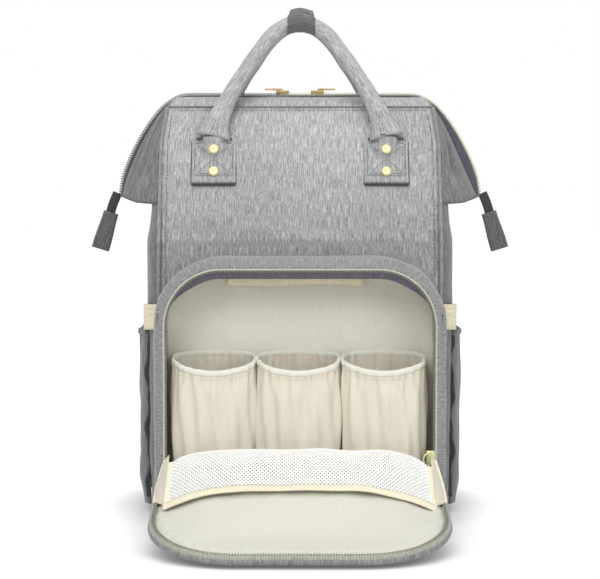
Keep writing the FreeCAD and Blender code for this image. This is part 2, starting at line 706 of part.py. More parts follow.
front = {}
front["mouth_panel"] = plate(
    "front_mouth_panel",
    [
        ("-body_width / 2 + seam_inset", "1.5"),
        ("body_width / 2 - seam_inset", "1.5"),
        ("body_width / 2 - seam_inset", f"{WING_FOOT - 0.7:.5f}"),
        ("panel_half_width - 2.4", f"{WING_FOOT:.5f}"),
        ("panel_half_width - 3", f"{PANEL_RUN:.5f}"),
        ("3 - panel_half_width", f"{PANEL_RUN:.5f}"),
        ("2.4 - panel_half_width", f"{WING_FOOT:.5f}"),
        ("-body_width / 2 + seam_inset", f"{WING_FOOT - 0.7:.5f}"),
    ],
    "shell_wall", inward=True,
    axis=X_AXIS, angle=-LEAN_DEG, y="-body_depth / 2", z="fold_height",
)  # fmt: skip
front["mouth_band"] = plate(
    "front_mouth_band",
    [
        ("3.5 - panel_half_width", "1.6"),
        ("panel_half_width - 3.5", "1.6"),
        ("zip_half_length - 0.4", f"{BAND_RUN - 1.9:.5f}"),
        ("0.4 - zip_half_length", f"{BAND_RUN - 1.9:.5f}"),
    ],
    "band_wall", inward=True,
    axis=X_AXIS, angle=-BAND_LEAN, y="-seam_depth", z="seam_height",
)  # fmt: skip
front["zip_tape"] = along_zip("front_zip_tape", -8, 0, "tape_thick", "-zip_half_gap - 0.4")
front["zip_teeth"] = along_zip("front_zip_teeth", 0, 3, "teeth_half_width", "-chain_gap")

wall = size("wing_wall")
foot_y = on_panel(0, WING_FOOT)[0]
wing_z = size("wing_base") + 2
tip = Vector(size("wing_reach") - 0.3, -BAND_BACK, size("wing_tip_height") - 0.5)
crown = Vector(size("zip_half_length"), -BAND_BACK, size("mouth_height") - 0.2)
root_in = Vector(size("panel_half_width") - 2, -BAND_BACK, wing_z)
root_out = Vector(size("panel_half_width") - 2, foot_y, wing_z)
seam = Vector(size("panel_half_width") - 2.7, -size("seam_depth"), size("seam_height"))
outside = [root_out, seam, tip, crown, root_in]
slope = (tip - root_out).cross(crown - root_out).normalize()
if slope.y > 0:
    slope = slope * -1
inside = hull([spot - slope * wall for spot in outside])
depth, height = size("body_depth"), size("mouth_height")
clip = Part.makeBox(2 * size("wing_reach"), 2 * depth, height, Vector(0, -depth, wing_z + wall))
half = size("panel_half_width")
trim_line = [
    (half / 2, FOLD_Z),
    (half - 2.1, FOLD_Z),
    (half - 2.1, size("seam_height") + 0.8),
    (size("zip_half_length") + 0.3, size("mouth_height") + 0.8),
    (half / 2, size("mouth_height") + 0.8),
]
trim = hull([Vector(x, y, z) for x, z in trim_line for y in (-depth, 0)])
wing = hull(outside).cut(inside.common(clip)).cut(trim)
wing_right = feature("wing_right", wing)
wing_left = mirrored("wing_left", wing_right, X_AXIS)
front["wings"] = group("front_wings", [wing_right, wing_left])

under_band = (size("band_wall") + size("wire_clear") + size("wire_radius")) * BAND_RUN
over_wire = (size("wire_out") - BAND_BACK) * BAND_RISE
wire_top = size("mouth_height") - (over_wire + under_band) / (size("seam_depth") - BAND_BACK)
wire_path = beside(ZIP_PATH, -size("wire_inset"))
for end, inner in ((0, 1), (3, 2)):
    side_run = wire_path[end] - wire_path[inner]
    wire_path[inner] += side_run * ((wire_top - wire_path[inner].z) / side_run.z)
    wire_path[end] += (wire_path[inner] - wire_path[end]).normalize() * 18
wire_path = [spot + Vector(0, -size("wire_out"), 0) for spot in wire_path]
front["frame_wire"] = feature("front_frame_wire", rod(wire_path, size("wire_radius")))

patches = []
rivets = []
for side in (-1, 1):
    name = "right" if side > 0 else "left"
    patches.append(
        plate(
            f"patch_{name}",
            [
                (f"{side} * handle_x - patch_width / 2", "patch_low"),
                (f"{side} * handle_x + patch_width / 2", "patch_low"),
                (f"{side} * handle_x + patch_width / 2", "patch_low + patch_length"),
                (f"{side} * handle_x - patch_width / 2", "patch_low + patch_length"),
            ],
            "patch_thick", axis=X_AXIS, angle=-LEAN_DEG, y="-body_depth / 2", z="fold_height",
        )
    )  # fmt: skip
    for row, step in (("low", -0.5), ("high", 0.5)):
        up = size("patch_low") + size("patch_length") / 2 + step * size("rivet_pitch")
        y, z = on_panel(size("patch_thick"), up)
        head = cylinder(
            f"rivet_{name}_{row}", "rivet_radius", "rivet_thick",
            axis=X_AXIS, angle=90 - LEAN_DEG, x=f"{side} * handle_x", y=f"{y:.5f}", z=f"{z:.5f}",
        )  # fmt: skip
        rivets.append(head)
front["handle_patches"] = group("front_handle_patches", patches)
front["rivets"] = group("front_rivets", rivets)
for word, obj in front.items():
    node(obj)
    node(mirrored(f"back_{word}", obj, Y_AXIS))

# folded cloth inside the two ends of the mouth
gusset_plate = plate(
    "gusset_right",
    [
        ("-body_depth / 2 + 14", "fold_height + 2"),
        ("body_depth / 2 - 14", "fold_height + 2"),
        ("11", "seam_height - 26"),
        ("-11", "seam_height - 26"),
    ],
    "lining_thick", axis=Z_AXIS, angle=90, x="zip_half_length",
)  # fmt: skip
foot_plate = box(
    "gusset_foot", "body_width / 2 - shell_wall - soft_gap - zip_half_length - lining_thick", "body_depth - 40",
    "lining_thick", x="zip_half_length + lining_thick", y="20 - body_depth / 2", z="fold_height + 2",
)  # fmt: skip
gusset_right = group("mouth_gusset_half", [gusset_plate, foot_plate])
node(group("mouth_gussets", [gusset_right, mirrored("mouth_gusset_other", gusset_right, X_AXIS)]))

# ---------------------------------------------------------------- handles
GRIP_Z = size("handle_top")
# a leg's shape: how far each spot is on its way to the middle, to the grip's plane and to the grip's height
LEG_SHAPE = [(0, 0, 0), (6 / 82, 6.8 / 32.5, 19 / 109), (18 / 82, 15 / 32.5, 43 / 109), (36 / 82, 24 / 32.5, 71 / 109)]
LEG_SHAPE.append((58 / 82, 31 / 32.5, 99 / 109))
LEG_IN = size("handle_out") - size("grip_y")
LEG_RISE = GRIP_Z - size("handle_pivot")
LEG = [
    Vector(size("handle_x") * (1 - across), LEG_IN * inward - size("handle_out"), size("handle_pivot") + LEG_RISE * up)
    for across, inward, up in LEG_SHAPE
]
HANDLE = LEG + [Vector(0, -size("grip_y"), GRIP_Z)] + [Vector(-p.x, p.y, p.z) for p in LEG[::-1]]
handle = node(feature("front_handle", tube(HANDLE, size("grip_radius"))))
node(mirrored("back_handle", handle, Y_AXIS))
grip_curve = Part.BSplineCurve()
grip_curve.interpolate(HANDLE)
half_wrap = size("wrap_length") / 2
core = []
for step in range(-3, 4):
    plane = Part.Plane(Vector(1.5 + half_wrap * step / 3, 0, 0), X_AXIS)
    spot = grip_curve.intersectCS(plane)[0][0]
    core.append(Vector(spot.X, spot.Y, spot.Z))
sleeve_curve = Part.BSplineCurve()
sleeve_curve.interpolate(core)
along = (core[1] - core[0]).normalize()
side = Z_AXIS.cross(along).normalize()
rise = along.cross(side)
inner_r = size("grip_radius") + size("soft_gap")
outer_r = inner_r + size("wrap_wall")


def round_grip(radius, angle):
    """A spot on the start ring of the sleeve, its angle counted from the rear."""
    turn = math.radians(angle)
    return core[0] + side * (radius * math.cos(turn)) + rise * (radius * math.sin(turn))


section = Part.Wire(
    [
        Part.Arc(round_grip(outer_r, 64), round_grip(outer_r, 180), round_grip(outer_r, 296)).toShape(),
        Part.makeLine(round_grip(outer_r, 296), round_grip(inner_r, 296)),
        Part.Arc(round_grip(inner_r, 296), round_grip(inner_r, 180), round_grip(inner_r, 64)).toShape(),
        Part.makeLine(round_grip(inner_r, 64), round_grip(outer_r, 64)),
    ]
)
sleeve_c = feature("sleeve_c", Part.Wire(sleeve_curve.toShape()).makePipeShell([section], True, True))
tongue = plate(
    "tongue",
    [
        ("1.5 - wrap_length / 2", "0"), ("1.5 + wrap_length / 2", "0"),
        ("wrap_length / 2 - 1.5", "wrap_flap_length * 0.62"), ("4.5 - wrap_length / 2", "wrap_flap_length * 0.62"),
    ],
    "wrap_wall", axis=X_AXIS, angle=-62, y="3.4 - grip_y", z="handle_top + grip_radius + 1.7",
)  # fmt: skip
node(group("handle_wrap", [sleeve_c, tongue]))

# ---------------------------------------------------------------- zip sliders and pulls
CHAIN_TOP = "(mouth_height + teeth_height)"
slider_parts = []
for name, wide, z in (
    ("plate_low", "2 * zip_half_gap", "mouth_height - slider_room - slider_plate"),
    ("plate_high", "slider_width", f"{CHAIN_TOP} + slider_room"),
    ("web", "slider_web", "mouth_height - slider_room - slider_plate"),
):
    tall = "slider_plate" if name != "web" else "teeth_height + 2 * slider_room + 2 * slider_plate"
    slider_parts.append(
        box(
            f"slider_{name}", "slider_length", wide, tall,
            x="slider_x - slider_length / 2", y=f"-({wide}) / 2", z=z,
        )
    )  # fmt: skip
slider_right = node(fuse("main_slider_right", slider_parts))
node(mirrored("main_slider_left", slider_right, X_AXIS))
PULL_Z = f"({CHAIN_TOP} + slider_room + slider_plate + 0.4)"
pull_block = box(
    "pull_block", "pull_length", "pull_width", "pull_thick", x="slider_x", y="-pull_width / 2", z=PULL_Z
)  # fmt: skip
pull_slot = box(
    "pull_slot", "5", "2.6", "pull_thick + 2", x="slider_x + 2", y="-1.3", z=f"{PULL_Z} - 1"
)  # fmt: skip
pull_right = node(cut("main_pull_right", pull_block, pull_slot))
node(mirrored("main_pull_left", pull_right, X_AXIS))

POCKET_FACE = f"({FRONT} - pocket_depth - tape_thick - 2.3)"
slide_low = "(hinge_height + 8)"
slide_parts = [
    box("pocket_slider_face", "9", "slider_plate", "slider_length",
        x="opening_half_width - 4", y=f"{POCKET_FACE} - soft_gap - slider_plate", z=slide_low),
    box("pocket_slider_web", "1.4", "2.3 + tape_thick + 2 * soft_gap + 2 * slider_plate", "slider_length",
        x="opening_half_width - 2", y=f"{POCKET_FACE} - soft_gap - slider_plate", z=slide_low),
    box("pocket_slider_rear", "7.4", "slider_plate", "slider_length",
        x="opening_half_width - 2", y=f"{FRONT} - pocket_depth + soft_gap", z=slide_low),
    box("pocket_slider_tab", "12", "1.4", "7",
        x="opening_half_width - 14", y=f"{POCKET_FACE} - soft_gap - slider_plate", z=f"{slide_low} + 3"),
]  # fmt: skip
node(fuse("pocket_slider", slide_parts))

# ---------------------------------------------------------------- flap of the front pocket
DROP = size("flap_drop") + size("flap_rim") + size("flap_wall")
REACH = math.hypot(size("flap_length"), DROP)
SLOPE = math.asin((size("hinge_height") - 0.4) / REACH) - math.atan2(DROP, size("flap_length"))
FLAP_DEG = 90 + math.degrees(SLOPE)
HINGE_Y = -size("body_depth") / 2 - size("hinge_out")
print("flap opens by", round(FLAP_DEG, 3), "degrees about y", HINGE_Y, "z", size("hinge_height"))


def on_flap(out):
    """Where the flap's own plane, out from its hinge line, lies in the world."""
    turn = math.radians(FLAP_DEG)
    y = HINGE_Y - out * math.cos(turn)
    z = size("hinge_height") - out * math.sin(turn)
    return dict(axis=X_AXIS, angle=FLAP_DEG, y=f"{y:.6f}", z=f"{z:.6f}")


FLAP_OUT = ("flap_half_width", "hinge_gap", "flap_length", "flap_corner")
FLAP_IN = (
    "flap_half_width - flap_wall",
    "hinge_gap + flap_wall",
    "flap_length - flap_wall",
    "flap_corner - flap_wall",
)
LINING_OUT = size("flap_drop") + size("flap_rim") - size("lining_thick")
node(
    arch_body(
        "flap_shell", "flap_rim + flap_wall", FLAP_OUT, FLAP_IN, floor="flap_wall", **on_flap(size("flap_drop"))
    )
)
node(arch_body("flap_lining", "lining_thick", FLAP_IN, **on_flap(LINING_OUT)))
MESH_HALF = "(flap_half_width - flap_wall - 7)"
MESH_OUT = LINING_OUT - size("mesh_gap") - size("mesh_thick")
mesh = plate(
    "flap_mesh_pocket",
    [
        (f"-{MESH_HALF}", "mesh_start"), (MESH_HALF, "mesh_start"),
        (f"{MESH_HALF} - 3", "mesh_start + mesh_length"), (f"3 - {MESH_HALF}", "mesh_start + mesh_length"),
    ],
    "mesh_thick", **on_flap(MESH_OUT),
)  # fmt: skip
node(mesh)
binding = plate(
    "flap_mesh_binding",
    [
        (f"3 - {MESH_HALF}", "mesh_start + mesh_length + 0.3"),
        (f"{MESH_HALF} - 3", "mesh_start + mesh_length + 0.3"),
        (f"{MESH_HALF} - 3", "mesh_start + mesh_length + binding_width"),
        (f"3 - {MESH_HALF}", "mesh_start + mesh_length + binding_width"),
    ],
    "2", **on_flap(MESH_OUT - 0.6),
)  # fmt: skip
node(binding)
bellows = []
for side, name in ((-1, "left"), (1, "right")):
    start = f"{MESH_HALF} + soft_gap" if side > 0 else f"-{MESH_HALF} - soft_gap - lining_thick"
    bellows.append(
        plate(
            f"bellow_{name}",
            [
                (start, "mesh_start"), (f"{start} + lining_thick", "mesh_start"),
                (f"{start} + lining_thick", "mesh_start + mesh_length"), (start, "mesh_start + mesh_length"),
            ],
            "mesh_gap + mesh_thick", **on_flap(MESH_OUT),
        )
    )  # fmt: skip
node(group("flap_bellows", bellows))
ZIP_RING_IN = ("flap_half_width - 5", "0", "flap_length - 5", "flap_corner - 5")
zip_ring = arch_body(
    "flap_zip_ring", "tape_thick + 0.2", FLAP_OUT, ZIP_RING_IN, **on_flap(size("flap_drop") - 1.2)
)  # fmt: skip
foot_room = box("foot_room", "300", "40", "22", x="-150", y="-12", z="-6")
place(foot_room, x="-150", axis=X_AXIS, angle=FLAP_DEG, y=f"{HINGE_Y + 12:.5f}", z="hinge_height - 10")
node(cut("flap_zip", zip_ring, foot_room))

# ---------------------------------------------------------------- zip ends at the wing tips
TAIL_X = size("wing_reach") + 3.6
TAIL_Z = size("wing_tip_height") + 0.6
TILT = size("tail_tilt")


def down_tail(label, wide, thick, long, down):
    """A block of a zip end, some way down from its pivot."""
    turn = math.radians(TILT)
    half = size(wide) / 2
    x = TAIL_X - half * math.cos(turn) + (down + size(long)) * math.sin(turn)
    z = TAIL_Z - half * math.sin(turn) - (down + size(long)) * math.cos(turn)
    block = box(label, wide, thick, long, x="0", y="0", z="0")
    return place(block, axis=Y_AXIS, angle=-TILT, x=f"{x:.5f}", y=f"-({thick}) / 2", z=f"{z:.5f}")


tail_parts = [
    down_tail("tail_tape", "tail_width", "tail_thick", "tail_length", 0),
    down_tail("tail_tab", "tab_end_width", "tab_end_thick", "tab_end_length", size("tail_length") - 5),
]
tail_right = node(fuse("zip_tail_right", tail_parts))
node(mirrored("zip_tail_left", tail_right, X_AXIS))

# ---------------------------------------------------------------- check and write
doc.removeObject("probe")
doc.recompute()
for obj in doc.Objects:
    if "Invalid" in obj.State or "Error" in obj.State:
        raise SystemExit(f"{obj.Label} did not recompute")
os.makedirs("parts", exist_ok=True)
for obj in NODES:
    if obj.Shape.isNull() or not obj.Shape.isValid() or not obj.Shape.Solids:
        raise SystemExit(f"{obj.Label} has no sound shape")
    obj.Shape.exportStep(f"parts/{obj.Label}.step")
print(len(NODES), "pieces written")
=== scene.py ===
"""Dressed model of a diaper bag: heather cloth, satin bottle sleeves, mesh pocket, zips and straps.

Lengths are millimetres in the row frame, and the front pocket faces -Y.
"""

import math

import bmesh
import bpy
import numpy as np
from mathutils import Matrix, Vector


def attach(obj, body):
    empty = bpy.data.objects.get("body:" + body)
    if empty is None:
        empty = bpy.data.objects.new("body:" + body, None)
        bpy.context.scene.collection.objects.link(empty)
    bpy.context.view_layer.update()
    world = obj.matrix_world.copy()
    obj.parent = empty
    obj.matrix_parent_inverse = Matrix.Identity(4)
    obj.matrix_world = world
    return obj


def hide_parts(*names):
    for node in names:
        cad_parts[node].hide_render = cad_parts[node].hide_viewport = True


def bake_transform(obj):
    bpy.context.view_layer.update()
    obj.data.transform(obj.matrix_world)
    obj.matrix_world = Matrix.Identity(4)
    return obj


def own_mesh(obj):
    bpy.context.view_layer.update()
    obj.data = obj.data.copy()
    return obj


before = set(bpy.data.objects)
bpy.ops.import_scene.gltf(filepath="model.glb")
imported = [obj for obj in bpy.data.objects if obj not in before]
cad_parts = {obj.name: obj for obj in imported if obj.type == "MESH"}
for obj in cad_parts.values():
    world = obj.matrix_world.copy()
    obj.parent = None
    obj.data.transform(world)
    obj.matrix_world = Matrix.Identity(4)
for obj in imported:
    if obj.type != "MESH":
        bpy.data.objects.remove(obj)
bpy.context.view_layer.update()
MM = 0.001

# ---- shared sizes
HALF = 141.0  # half width of the body
DEEP = 75.0  # half depth of the body
SEAM_X = 131.0  # half width of the front and back cloth
CORNER = 16.0  # round upright corners
FOLD_Z = 262.0  # fold line of the mouth
SEAM_Y, SEAM_Z = 20.0, 388.0  # foot of each top band
ZIP_X, ZIP_Z = 119.0, 399.0  # straight top of the zip
TIP = np.array([174.7, -4.2, 302.5])  # tip of a wing
LEAN = math.atan2(DEEP - SEAM_Y, SEAM_Z - FOLD_Z)
HINGE = np.array([0.0, -129.0, 50.0])  # fold line of the flap
FLAP_TURN = math.radians(100.088)
POCKET = dict(half=130.0, top=242.0, corner=58.0)
FLAP = dict(half=128.0, top=182.0, corner=76.0)
SIDES = ((-1, "left"), (1, "right"))
FRONT_WAY = (0, -1, 0)


# ---- materials
class Nodes:
    """A small writer of node trees: each call adds one node and returns it."""

    def __init__(self, name):
        self.material = bpy.data.materials.new(name)
        self.material.use_nodes = True
        self.tree = self.material.node_tree
        self.tree.nodes.clear()
        self.out = self.tree.nodes.new("ShaderNodeOutputMaterial")
        self.shader = self.tree.nodes.new("ShaderNodeBsdfPrincipled")
        self.tree.links.new(self.shader.outputs[0], self.out.inputs[0])

    def add(self, kind, inputs=None, **settings):
        made = self.tree.nodes.new("ShaderNode" + kind)
        for key, value in settings.items():
            setattr(made, key, value)
        for key, value in (inputs or {}).items():
            self.put(made.inputs[key], value)
        return made

    def put(self, socket, value):
        if isinstance(value, bpy.types.Node):
            value = value.outputs[0]
        if isinstance(value, bpy.types.NodeSocket):
            self.tree.links.new(value, socket)
        else:
            socket.default_value = value

    def plus(self, a, b):
        return self.add("Math", {0: a, 1: b}, operation="ADD")

    def times(self, a, b):
        return self.add("Math", {0: a, 1: b}, operation="MULTIPLY")

    def noise(self, vector, scale, detail, **more):
        return self.add("TexNoise", {"Vector": vector, "Scale": scale, "Detail": detail, **more})

    def stretched(self, vector, across, along):
        return self.add("Mapping", {"Vector": vector, "Scale": (across, along, 1)})

    def ramp(self, value, stops):
        node = self.add("ValToRGB", {"Fac": value})
        ramp = node.color_ramp
        while len(ramp.elements) < len(stops):
            ramp.elements.new(0.5)
        for element, (place, colour) in zip(ramp.elements, stops):
            element.position = place
            element.color = (*colour, 1.0)
        return node

    def surface(self, **values):
        for key, value in values.items():
            self.put(self.shader.inputs[key.replace("_", " ")], value)

    def bump(self, height, strength, distance):
        self.surface(Normal=self.add("Bump", {"Height": height, "Strength": strength, "Distance": distance}))


def rgb(levels):
    """Display levels of 0 to 255 as linear light; a single level is a grey."""
    shares = [level / 255.0 for level in ([levels] * 3 if isinstance(levels, int) else levels)]
    return tuple(share / 12.92 if share <= 0.04045 else ((share + 0.055) / 1.055) ** 2.4 for share in shares)


def cloth(
    name, base, dark, light, slub=1.0, weave=1.0, rough=0.92, sheen=0.25, scale=1.0, bump=0.25, painted_bottom_shade=1.0
):
    """Woven cloth on UVs in metres: warp and weft, slubs along v, slow changes of tone, and painted shade
    that makes it darker lower down.
    """
    n = Nodes(name)
    uv = n.add("UVMap").outputs[0]
    streak = n.noise(n.stretched(uv, 850 * scale, 75 * scale), 1.0, 2.0, Roughness=0.55)
    thin = n.noise(n.stretched(uv, 1700 * scale, 240 * scale), 1.0, 1.0, Roughness=0.5)
    fine = n.noise(n.stretched(uv, 1300 * scale, 1000 * scale), 1.0, 1.0)
    slow = n.noise(uv, 9.0, 2.0)
    level = n.plus(n.times(streak, 0.85 * slub), n.times(thin, 0.6 * slub))
    level = n.plus(level, n.times(fine, 0.4 * weave))
    level = n.plus(level, n.times(slow, 0.2))
    middle = 0.725 * slub + 0.2 * weave + 0.1
    level = n.plus(level, 0.5 - middle)
    colour = n.ramp(level, [(0.2, rgb(dark)), (0.5, rgb(base)), (0.8, rgb(light))])
    # Painted shade: the colour is multiplied down towards the bottom of the bag, standing in for the top
    # light on the leaning mouth panel and the shade under the pocket's arch.
    if painted_bottom_shade < 1.0:
        place = n.add("TexCoord").outputs["Object"]
        height = n.add("SeparateXYZ", {"Vector": place}).outputs[2]
        reach = {"Value": height, "From Min": 0.21, "From Max": 0.385, "To Min": painted_bottom_shade, "To Max": 1.0}
        colour = n.add("MixRGB", {"Fac": 1.0, "Color1": colour, "Color2": n.add("MapRange", reach)})
        colour.blend_type = "MULTIPLY"
    wave = {"Vector": uv, "Scale": 330 * scale, "Distortion": 0.6}
    threads = [n.times(n.add("TexWave", wave, bands_direction=way), 0.4) for way in "XY"]
    n.bump(n.plus(n.plus(*threads), fine), bump, 0.0004)
    n.surface(Base_Color=colour, Roughness=rough, Sheen_Weight=sheen, Sheen_Roughness=0.6)
    return n.material


def satin(name, base, dark, light, **more):
    """Smooth lining cloth with a faint weave."""
    return cloth(name, base, dark, light, slub=0.4, weave=0.5, **{"bump": 0.1, **more})


def plain(name, colour, rough=0.5, metal=0.0, grain=0.0):
    """Moulded or cast stuff with a fine grain in its colour, roughness and relief."""
    n = Nodes(name)
    noise = n.noise(n.add("TexCoord").outputs["Object"], 400.0, 3.0)
    low, high = (tuple(min(1.0, value * share) for value in rgb(colour)) for share in (1 - grain, 1 + grain))
    n.surface(
        Base_Color=n.ramp(noise, [(0.3, low), (0.7, high)]),
        Roughness=n.plus(n.times(noise, 0.16), rough - 0.08),
        Metallic=metal,
    )
    n.bump(noise, 0.15, 0.0002)
    return n.material


# each look with the record's slot that it fills
LOOK_AND_SLOT = {
    "heather": (cloth("heather", 155, 104, 205, painted_bottom_shade=0.69), "heather_cloth"),
    # The next three looks are the heather cloth painted darker: painted shade for its low, underneath, side
    # and wing faces.
    "heather_shaded": (cloth("heather_shaded", 126, 84, 166), "heather_cloth"),
    "heather_shaded_more": (cloth("heather_shaded_more", 120, 76, 162), "heather_cloth"),
    "heather_shaded_most": (cloth("heather_shaded_most", 101, 64, 140), "heather_cloth"),
    "dark": (cloth("dark_cloth", (78, 73, 84), (56, 52, 62), (98, 93, 104), scale=1.2), "dark_cloth"),
    "tail": (cloth("tail_cloth", (86, 86, 87), (58, 58, 60), (120, 120, 121), scale=1.1), "dark_cloth"),
    "black": (cloth("black_tape", (48, 46, 50), (32, 31, 34), (68, 66, 70), scale=1.6), "zip_tape"),
    "satin": (
        satin(
            "cream_satin", (209, 202, 186), (196, 188, 170), (222, 217, 203), rough=0.5, sheen=0.2, bump=0.08
        ),
        "cream_satin",
    ),
    "lining": (
        satin("cream_lining", (229, 227, 216), (219, 216, 203), (238, 237, 228), rough=0.7),
        "cream_satin",
    ),
    # A darker copy of the cream lining: painted shade for the lining deep inside the pocket.
    "lining_shaded": (
        satin("cream_lining_shaded", (214, 213, 200), (201, 199, 184), (225, 224, 213), rough=0.75),
        "cream_satin",
    ),
    # A darker copy of the cream lining for the flap: painted shade that offsets the stronger light on the
    # upturned flap.
    "lining_shaded_flap": (
        satin("cream_lining_shaded_flap", (203, 202, 190), (194, 192, 178), (213, 212, 203), rough=0.8),
        "cream_satin",
    ),
    "binding": (
        cloth("cream_binding", (232, 224, 196), (214, 204, 172), (243, 237, 214), scale=1.5),
        "cream_binding",
    ),
    "webbing": (
        cloth("cream_webbing", (222, 213, 184), (196, 186, 156), (238, 231, 208), scale=0.8, bump=0.5),
        "cream_satin",
    ),
    "zip_edge": (cloth("zip_edge", (150, 150, 140), (118, 118, 110), (182, 182, 170), scale=1.5), "zip_tape"),
    "zip_rope": (plain("zip_rope", (176, 176, 158), 0.6, grain=0.1), "zip_tape"),
    "coil": (plain("coil_teeth", (126, 126, 116), 0.45, grain=0.1), "zip_tape"),
    "mesh": (plain("white_mesh", (250, 250, 248), 0.7, grain=0.02), "white_mesh"),
    "rivet": (plain("rivet", (214, 204, 160), 0.42, metal=0.4, grain=0.08), "gold_metal"),
    "pale_gold": (plain("pale_gold", (206, 206, 160), 0.4, metal=0.7, grain=0.08), "gold_metal"),
    "gold": (plain("gold_metal", (226, 202, 140), 0.28, metal=1.0, grain=0.06), "gold_metal"),
    "steel": (plain("wire_steel", (150, 150, 154), 0.4, metal=1.0, grain=0.05), "frame_steel"),
    "plastic": (plain("black_plastic", (40, 40, 43), 0.5, grain=0.1), "black_plastic"),
    "dark_thread": (plain("dark_thread", (96, 95, 98), 0.8, grain=0.05), "heather_cloth"),
    "cream_thread": (plain("cream_thread", (205, 192, 150), 0.8, grain=0.05), "cream_satin"),
}


# ---- number helpers
def xyz(x, y, z):
    """Points from three coordinates that broadcast together."""
    return np.stack(np.broadcast_arrays(x, y, z), axis=-1).astype(float)


def net(u, v):
    """Both coordinates at each crossing of u and v."""
    return np.meshgrid(u, v, indexing="ij")


def ease(value, low, high):
    """0 below low, 1 above high and a smooth step between."""
    t = np.clip((np.asarray(value, float) - low) / (high - low), 0, 1)
    return t * t * (3 - 2 * t)


def hump(value, middle, width):
    """A bell of height 1 about the middle."""
    return np.exp(-(((value - middle) / width) ** 2))


def waves(u, v, seed, low=0.008, high=0.03):
    """Slow folds: five sines with seeded directions, between -1 and 1."""
    rng = np.random.default_rng(seed)
    total = np.zeros(np.broadcast(u, v).shape)
    for _ in range(5):
        angle, pace, phase = rng.uniform(0, np.pi), rng.uniform(low, high), rng.uniform(0, 6.28)
        total += np.sin(2 * np.pi * pace * (u * np.cos(angle) + v * np.sin(angle)) + phase)
    return total / 5


def lengths(points):
    """Run along a polyline from its first point."""
    steps = np.linalg.norm(np.diff(points, axis=0), axis=1)
    return np.concatenate([[0.0], np.cumsum(steps)])


def at_runs(goal, run, points):
    """Points at given runs along a polyline."""
    return np.stack([np.interp(goal, run, points[:, k]) for k in range(points.shape[1])], axis=-1)


def resample(points, count):
    """The same line with evenly spaced points."""
    points = np.asarray(points, float)
    run = lengths(points)
    return at_runs(np.linspace(0, run[-1], count), run, points)


def smooth_path(points, count):
    """A Catmull-Rom line through the points, evenly spaced."""
    points = np.asarray(points, float)
    padded = np.concatenate([[2 * points[0] - points[1]], points, [2 * points[-1] - points[-2]]])
    spots = []
    for i in range(len(points) - 1):
        p0, p1, p2, p3 = padded[i : i + 4]
        for t in np.linspace(0, 1, 12, endpoint=False):
            bend = (2 * p0 - 5 * p1 + 4 * p2 - p3) * t**2 + (3 * p1 - p0 - 3 * p2 + p3) * t**3
            spots.append(0.5 * (2 * p1 + (p2 - p0) * t + bend))
    return resample(np.array([*spots, points[-1]]), count)


def unit(vectors):
    return vectors / np.maximum(np.linalg.norm(vectors, axis=-1, keepdims=True), 1e-9)


def frames_along(path, up=(0, 0, 1)):
    """Side and rise directions across a path; rise stays near the given way."""
    along = unit(np.gradient(path, axis=0))
    side = unit(np.cross(along, np.broadcast_to(np.asarray(up, float), along.shape)))
    return side, np.cross(side, along)


def arch(half, top, corner, foot, count=120):
    """Points (x, z) up the left side, over the top and down the right side of an arch, evenly spaced."""
    turn = np.linspace(np.pi, np.pi / 2, 24)
    left = np.stack([-(half - corner) + corner * np.cos(turn), top - corner + corner * np.sin(turn)], axis=1)
    return resample(np.concatenate([[[-half, foot]], left, left[::-1] * [-1, 1], [[half, foot]]]), count)


def out_of(path):
    """Outward directions of a flat (x, z) line that runs clockwise."""
    along = unit(np.gradient(path, axis=0))
    return np.stack([-along[:, 1], along[:, 0]], axis=1)


# ---- mesh makers
def build(name, points, faces, look, uv=None):
    """One smooth object at the origin from points, faces, a look and UVs."""
    mesh = bpy.data.meshes.new(name)
    mesh.from_pydata((np.asarray(points, float) * MM).tolist(), [], [list(map(int, face)) for face in faces])
    mesh.materials.append(LOOK_AND_SLOT[look][0])
    if uv is not None:
        layer = mesh.uv_layers.new(name="UVMap")
        index = np.zeros(len(mesh.loops), np.int32)
        mesh.loops.foreach_get("vertex_index", index)
        layer.data.foreach_set("uv", (np.asarray(uv, float) * MM)[index].ravel())
    mesh.polygons.foreach_set("use_smooth", np.full(len(mesh.polygons), True))
    mesh.update()
    piece = bpy.data.objects.new(name, mesh)
    bpy.context.collection.objects.link(piece)
    return piece


def dress(piece, body, *nodes):
    """The piece rides on its body and replaces the nodes that it stands for."""
    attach(piece, body)
    if nodes:
        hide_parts(*nodes)
    return piece


def loop_faces(rings, count, start=0, closed=False, capped=True):
    """Faces of a bar whose rings have count points each."""
    faces = []
    for i in range(rings if closed else rings - 1):
        a, b = start + i * count, start + (i + 1) % rings * count
        for j in range(count):
            m = (j + 1) % count
            faces.append((a + j, b + j, b + m, a + m))
    if capped and not closed:
        last = start + (rings - 1) * count
        faces.append(tuple(range(start, start + count)))
        faces.append(tuple(range(last + count - 1, last - 1, -1)))
    return faces


def grid_normals(grid, ring):
    """Unit normals d/du x d/dv of a grid of points."""
    if ring:
        wide = np.concatenate([grid[-2:-1], grid, grid[1:2]])
        du = wide[2:] - wide[:-2]
    else:
        du = np.gradient(grid, axis=0)
    return unit(np.cross(du, np.gradient(grid, axis=1)))


def grid_faces(nu, nv, offset, flip):
    i, j = net(np.arange(nu - 1), np.arange(nv - 1))
    a = (i * nv + j).ravel() + offset
    quads = np.stack([a, a + nv, a + nv + 1, a + 1], axis=1)
    return quads[:, ::-1] if flip else quads


